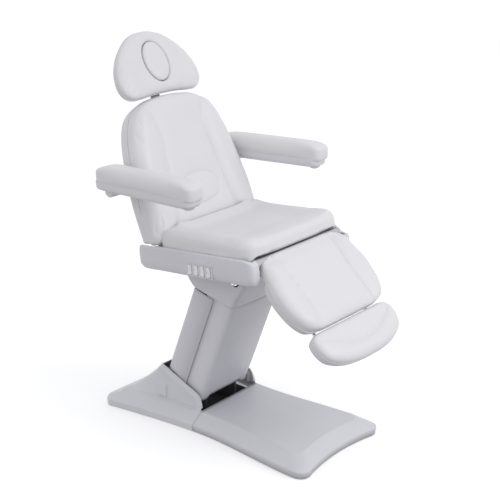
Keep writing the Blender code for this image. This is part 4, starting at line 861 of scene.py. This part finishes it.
def mirrored(line):
    """A line on both sides: once with x turned over and once as it is."""
    return [[(-x, p) for x, p in line], list(line)]


seat_loop = smooth_loop([(0, CUSH_REAR), (0.12, CUSH_REAR), (0.20, CUSH_REAR - 0.003),
                         (0.25, CUSH_REAR - 0.010), (0.279, CUSH_REAR - 0.013),
                         (CUSH_HALF + 0.001, CUSH_REAR + 0.008), (CUSH_HALF, -0.10), (CUSH_HALF, 0.03),
                         (CUSH_HALF - 0.002, 0.094), (0.276, 0.136), (0.256, 0.167), (0.212, 0.185),
                         (0.12, CUSH_FRONT), (0, CUSH_FRONT)])


def seat_rise(x, p):
    """Side bolsters beyond the middle panel, a roll at the front and a higher one against the back."""
    side = 0.014 * ramped(np.abs(x), 0.13, 0.235)
    roll = 0.012 * ramped(p, 0.03, 0.125)
    rear = 0.030 * ramped(-p, 0.15, 0.235) ** 1.5 * (1 - 0.75 * ramped(np.abs(x), 0.18, 0.265))
    return np.maximum(side, roll) + 0.35 * np.minimum(side, roll) + rear - 0.4 * np.minimum(side, rear)


def seat_place(x, p, q):
    """Seat axes, with the rear face leant back to lie along the back cushion."""
    lean = 0.25 * (q - 0.150) * (1 - ramped(p, CUSH_REAR, CUSH_REAR + 0.08))
    return seat.world(x, p - lean, q)


seat_rim = (0.030 - 0.012 * (1 - ramped(seat_loop[:, 1], CUSH_REAR, -0.18))
            - 0.006 * ramped(seat_loop[:, 1], 0.10, 0.17))
seat_pad = pad_form("seat_pad", seat_place, seat_loop, PAN_TOP, CUSH_SIDE, CUSH_TOP, seat_rim, 0.003,
                    seat_rise,
                    lambda x, p: KNEE_ROOM * ramped(p, 0.125, 0.150) * (1 - ramped(np.abs(x), 0.232, 0.258)))
upholstered(seat_pad, seat, PAN_TOP, [], 0.006, "seat", "seat_cushion")

# Back: a plywood board, a moulded shell behind it and a tall cushion with two sewn channels and a sewn
# lumbar oval, all screwed to the back frame.
BACK_DEG = 113.0
BACK_LEN = 0.517
BACK_TUCK = -0.030
BOARD_F = 0.005
LIP = 0.009
TUCK = 0.003
SHELL_LOW = -0.019
EAR_X = 0.243
EAR_HALF = 0.0075
shell_white = finish("shell_white", (0.68, 0.675, 0.71), (0.66, 0.655, 0.69), 0.42, 0.0, 1500, 0.08,
                     coat=0.08)
back = Axes(joint_place("back_recline"), BACK_DEG, -1.0)
back_right = [(0.297, 0.035), (0.297, 0.080), (0.290, 0.156), (0.277, 0.252), (0.258, 0.347), (0.231, 0.421),
              (0.203, 0.462), (0.168, 0.488), (0.120, 0.506), (0.060, 0.514), (0, BACK_LEN)]
back_loop = smooth_loop([(0, BACK_TUCK), (0.20, BACK_TUCK), (0.286, BACK_TUCK + 0.001),
                         (0.296, BACK_TUCK + 0.014), (0.297, 0.010)] + back_right)
shell_loop = smooth_loop([(0, SHELL_LOW), (0.20, SHELL_LOW), (0.285, SHELL_LOW), (0.2925, SHELL_LOW + 0.008),
                          (0.2932, 0.010), (0.2935, 0.040), (0.2935, 0.075)] + back_right[2:])
BACK_SEAM = [(0.176, -0.028), (0.163, 0.028), (0.149, 0.11), (0.138, 0.20), (0.128, 0.28), (0.120, 0.33),
             (0.118, 0.368), (0.122, 0.40), (0.131, 0.432), (0.145, 0.458), (0.166, 0.484)]
OVAL = (0.115, 0.062)
OVAL_P = 0.130
LUMBAR = [(OVAL[0] * math.cos(t), OVAL_P + OVAL[1] * math.sin(t)) for t in np.linspace(0, 2 * np.pi, 41)]
plywood = finish("plywood_finish", (0.55, 0.42, 0.27), (0.46, 0.34, 0.20), 0.65, 0.0, 260, 0.15, 6.0)
dress(["back_board", "leg_board"], plywood)


def shell(name, axes, loop, line, body, node):
    """Moulded tray behind a cushion: outlines along the line (inset, height) from the middle of its bottom
    to its rim, then back down inside the wall."""
    outer = np.array(line)
    inner = outer[::-1] + [WALL, 0]
    inner[1:, 1] += math.copysign(WALL, outer[-1, 1] - outer[0, 1])
    reach = 0.5 * (loop.max(0) - loop.min(0)).min()
    start = [(outer[0, 0] + (reach - outer[0, 0]) * s, outer[0, 1]) for s in (0.9, 0.6, 0.3)]
    end = [(inner[-1, 0] + (reach - inner[-1, 0]) * s, inner[-1, 1]) for s in (0.3, 0.6, 0.9)]
    steps = start + outer.tolist() + inner.tolist() + end
    tray = ringed(name, axes.world, [drawn_in(loop, i) for i, h in steps], [h for i, h in steps])
    return fitted(tray, shell_white, body, "white_cover", node)


tray_line = rounded([(0.110, -0.053), (0.060, -0.052), (0.014, -0.042), (0.006, -0.016),
                     (0.001, BOARD_F + LIP)], [0.03, 0.02, 0.012], 8)
back_tray = shell("back_tray", back, shell_loop, tray_line, "back", "back_shell")
for sign in (-1, 1):
    carved(back_tray, back.world, (sign * EAR_X - EAR_HALF, SHELL_LOW - 0.01, -0.07),
           (sign * EAR_X + EAR_HALF, 0.017, BOARD_F + 0.01))


def back_rise(x, p):
    """Bolsters beyond the channels, a slight swell of the lumbar oval."""
    line = np.interp(p, [b for a, b in BACK_SEAM], [a for a, b in BACK_SEAM])
    side = 0.011 * ramped(np.abs(x), line - 0.005, line + 0.055)
    oval = 0.003 * ramped(1 - np.hypot(x / OVAL[0], (p - OVAL_P) / OVAL[1]), 0, 0.5)
    return side + oval


back_pad = pad_form("back_pad", back.world, back_loop, BOARD_F + PAD_GAP, 0.034, 0.068, 0.036, TUCK,
                    back_rise, lambda x, p: 0.017 * (1 - ramped(p, 0.02, 0.032))
                    * (1 - ramped(np.abs(x), 0.255, 0.272)))
upholstered(back_pad, back, BOARD_F + PAD_GAP, mirrored(BACK_SEAM) + [LUMBAR], 0.006, "back", "back_cushion")

# Armrests: a moulded tray with a bushed boss on the crossbar and a deeper front end, and a long rounded pad.
# The left one mirrors the right.
ARM_DEG = 2.5
ARM_SPLAY = 3.5
ARM_X = 0.342
ARM_HALF = 0.048
ARM_REAR = -0.070
ARM_END = 0.434
PAD_END = 0.450
ARM_RIM = 0.028
BOSS_R = 0.022
BOSS_X = (0.302, 0.375)
KNOB_P = 0.398


def arm_outline(half, end):
    """Long outline with round ends; the front corners are a little fuller than half circles."""
    return smooth_loop([(0, ARM_REAR), (half * 0.5, ARM_REAR + 0.001), (half * 0.85, ARM_REAR + 0.011),
                        (half, ARM_REAR + 0.036), (half, 0.08), (half, 0.20), (half, 0.32),
                        (half, end - 0.045), (half * 0.90, end - 0.017), (half * 0.58, end - 0.003),
                        (0, end)])


arm_loop = arm_outline(ARM_HALF, ARM_END)
arm_at = joint_place("right_armrest_swing")
for name, sign in (("right", -1), ("left", 1)):
    arm = Axes(arm_at, ARM_DEG, 1.0, sign * ARM_SPLAY, sign * ARM_X)
    line = rounded([(0.030, 0.0), (0.012, 0.001), (0.001, 0.010), (0.0, ARM_RIM + LIP)], [0.010, 0.010], 8)
    steps = [(0.045, 0.0), (0.038, 0.0), *line, (WALL, ARM_RIM + LIP), (WALL, 0.012), (0.014, 0.006),
             (0.045, 0.006)]
    loops = [drawn_in(arm_loop, i) for i, h in steps]
    tray = ringed(name + "_tray", arm.world, loops, [h for i, h in steps])
    turn = np.linspace(0, 2 * np.pi, 48, endpoint=False)[None]
    knob_line = rounded([(0.004, 0.026), (0.0, 0.023), (-0.009, 0.017), (-0.010, 0.0)], [0.004, 0.006], 6)
    radius = knob_line[:, 1:]
    knob = arm.world(radius * np.cos(turn), KNOB_P + radius * np.sin(turn), knob_line[:, :1])
    under = meshed(name + "_arm_knob", knob, woven(*knob.shape[:2], True))
    boss_line = rounded([(BOSS_X[0], 0.0), (BOSS_X[0], BOSS_R), (BOSS_X[1], BOSS_R), (BOSS_X[1], 0.0)],
                        [0.005, 0.008], 6)
    boss = turned(name + "_arm_boss", boss_line, arm_at, sign)
    body = name + "_armrest"
    for piece in (tray, under, boss):
        fitted(piece, shell_white, body, "white_cover", name + "_arm_tray")
    pad = pad_form(name + "_pad", arm.world, arm_outline(ARM_HALF + 0.0015, PAD_END), ARM_RIM + PAD_GAP,
                   ARM_RIM + 0.042, ARM_RIM + 0.070, 0.024, TUCK)
    upholstered(pad, arm, ARM_RIM + PAD_GAP, [], 0.005, body, name + "_arm_pad")

# Headrest: a moulded shell on the bracket, a rounded cushion with an oval face hole and a plug of the same
# foam and fabric that fills it.
HEAD_DEG = 119.0
RIM_F = 0.042
PLUG_F = 0.062
FACE = (0.062, 0.082)
FACE_E = 0.099
head = Axes(joint_place("headrest_tilt"), HEAD_DEG, -1.0)
head_loop = smooth_loop([(0, -0.026), (0.06, -0.027), (0.13, -0.033), (0.174, -0.032), (0.204, -0.012),
                         (0.218, 0.024), (0.210, 0.079), (0.184, 0.128), (0.143, 0.173), (0.093, 0.209),
                         (0.045, 0.226), (0, 0.231)])
round_turn = np.linspace(0, 2 * np.pi, len(head_loop), endpoint=False) - np.pi / 2
oval = np.stack([np.cos(round_turn), np.sin(round_turn)], 1)
face_loop = oval * FACE + [0, FACE_E]
shell("head_tray", head, head_loop,
      rounded([(0.080, 0.018), (0.045, 0.0185), (0.008, 0.030), (0.001, RIM_F + LIP)], [0.02, 0.012], 8),
      "headrest", "headrest_shell")
head_pad = pad_form("head_pad", head.world, head_loop, RIM_F + PAD_GAP, 0.062, 0.086, 0.034, TUCK,
                    hole=face_loop)
upholstered(head_pad, head, RIM_F + PAD_GAP, [], 0.005, "headrest", "headrest_cushion")
plug_loop = oval * (np.array(FACE) + 0.0015) + [0, FACE_E]
plug_form = pad_form("plug_pad", head.world, plug_loop, PLUG_F, 0.078, 0.0885, 0.014, 0.003)
upholstered(plug_form, head, PLUG_F, [], 0.004, "plug", "face_plug")

# Leg rest: a plywood board, a moulded plastic shell below it and a foam cushion in coated fabric with two
# sewn channels, all screwed to the leg frame.
LEG_DEG = -43.1
LEG_LEN = 0.3155
LEG_LOW = -0.013
LEG_TOP = 0.0325
PLY_TOP = -0.018
leg = Axes(joint_place("leg_lift"), LEG_DEG)
leg_sides = [(0.252, 0.066), (0.259, 0.095), (0.268, 0.135), (0.268, 0.188), (0.258, 0.240), (0.241, 0.276),
             (0.217, 0.301), (0.172, LEG_LEN - 0.002), (0.08, LEG_LEN), (0, LEG_LEN)]
leg_loop = smooth_loop([(0, LEG_LOW), (0.15, LEG_LOW), (0.195, LEG_LOW + 0.005), (0.228, 0.007),
                        (0.246, 0.028)] + leg_sides)
leg_shell_loop = smooth_loop([(0, 0.062), (0.16, 0.062), (0.236, 0.063)] + leg_sides[1:])
LEG_SEAM = [(0.166, 0.0), (0.158, 0.05), (0.153, 0.10), (0.150, 0.167), (0.151, 0.235), (0.154, 0.310)]
shell("leg_tray", leg, leg_shell_loop,
      rounded([(0.080, -0.061), (0.040, -0.060), (0.010, -0.040), (0.001, PLY_TOP + LIP)], [0.02, 0.014], 8),
      "leg_rest", "leg_shell")


def leg_rise(x, p):
    """Bolsters beyond the channels, a slight crown between them and a fall to the end below the seat."""
    line = np.interp(p, [b for a, b in LEG_SEAM], [a for a, b in LEG_SEAM])
    side = 0.009 * ramped(np.abs(x), line, line + 0.05) - 0.003 * (x / 0.14) ** 2 * (np.abs(x) < line)
    return side * ramped(p, 0, 0.06) - 0.010 * (1 - ramped(p, 0.012, 0.050))


leg_rim = 0.012 + 0.016 * ramped(leg_loop[:, 1], 0.0, 0.06)
leg_pad = pad_form("leg_pad", leg.world, leg_loop, PLY_TOP + PAD_GAP, LEG_TOP - 0.022, LEG_TOP, leg_rim,
                   TUCK, leg_rise, lambda x, p: 0.012 * (1 - ramped(p, 0.019, 0.028)))
upholstered(leg_pad, leg, PLY_TOP + PAD_GAP, mirrored(LEG_SEAM), 0.006, "leg_rest", "leg_cushion")

# Hinge caps: a white domed cap of moulded plastic over each end of the leg hinge pin, pressed on beside
# the front corners of the seat.
CAP_X = (0.2474, 0.2600)
CAP_R = 0.0135
cap_line = rounded([(CAP_X[0], 0.0), (CAP_X[0], CAP_R), (CAP_X[1] - 0.002, CAP_R), (CAP_X[1], 0.0)],
                   [0.001, 0.009], 8)
leg_at = joint_place("leg_lift")
for name, sign in (("right_hinge_cap", -1), ("left_hinge_cap", 1)):
    fitted(turned(name, cap_line, leg_at, sign), switch_white, "seat", "white_cover")

# Lock knob: a turned steel knob with a ribbed grip, on a screw below the leg shell that clamps the foot
# rest where it was slid to.
KNOB_X = -0.160
KNOB_B = 0.150
KNOB_TOP = -0.0528
RIBS = 20
RIB_RISE = 0.0007
turn = np.linspace(0, 2 * np.pi, 120, endpoint=False)
knob_line = rounded([(0.0, 0.0045), (0.0135, 0.0045), (0.0145, 0.0125), (0.0275, 0.0130), (0.0290, 0.0)],
                    [0.0005, 0.0012, 0.0018], 7)
knob_line = np.vstack([[(0.0, 0.0)], knob_line])
ribs = ramped(knob_line[:, 1:], 0.010, 0.0122) * RIB_RISE * np.cos(RIBS * turn)
radius = knob_line[:, 1:] + ribs
drop = KNOB_TOP - knob_line[:, :1]
knob_points = leg.world(KNOB_X + radius * np.cos(turn), KNOB_B + radius * np.sin(turn), drop)
knob = meshed("ribbed_knob", knob_points, woven(*knob_points.shape[:2], True), 30)
fitted(knob, ground_steel, "knob", "bright_steel", "lock_knob")

# Foot rest: a half-moon foam cushion in coated fabric, with one curved sewn line across it, on a moulded
# plastic shell that slides on two steel rods.
FOOT_LOW = 0.3165
FOOT_TOP = 0.477
FOOT_RIM = -0.015
FOOT_ARC = (0.412, 0.066, 0.205)
foot_loop = smooth_loop([(0, FOOT_LOW), (0.14, FOOT_LOW), (0.204, FOOT_LOW + 0.002),
                         (0.228, FOOT_LOW + 0.014), (0.238, 0.357), (0.235, 0.393), (0.220, 0.423),
                         (0.186, 0.447), (0.137, 0.465), (0.074, 0.475), (0, FOOT_TOP)])


def foot_line(x):
    """Curved sewn line: p = top - fall (x / half)^2."""
    top, fall, half = FOOT_ARC
    return top - fall * (x / half) ** 2


FOOT_SEAM = [(x, foot_line(x)) for x in np.linspace(-FOOT_ARC[2], FOOT_ARC[2], 25)]
shell("foot_tray", leg, foot_loop,
      rounded([(0.060, -0.059), (0.034, -0.058), (0.008, -0.038), (0.001, FOOT_RIM + LIP)],
              [0.016, 0.014], 8), "foot_rest", "foot_shell")


def foot_rise(x, p):
    """Rolled edge beyond the sewn line."""
    return 0.006 * ramped(p, foot_line(x), foot_line(x) + 0.03)


foot_pad = pad_form("foot_pad", leg.world, foot_loop, FOOT_RIM + PAD_GAP, 0.002, 0.0225, 0.028, TUCK,
                    foot_rise)
upholstered(foot_pad, leg, FOOT_RIM + PAD_GAP, [FOOT_SEAM], 0.005, "foot_rest", "foot_cushion")
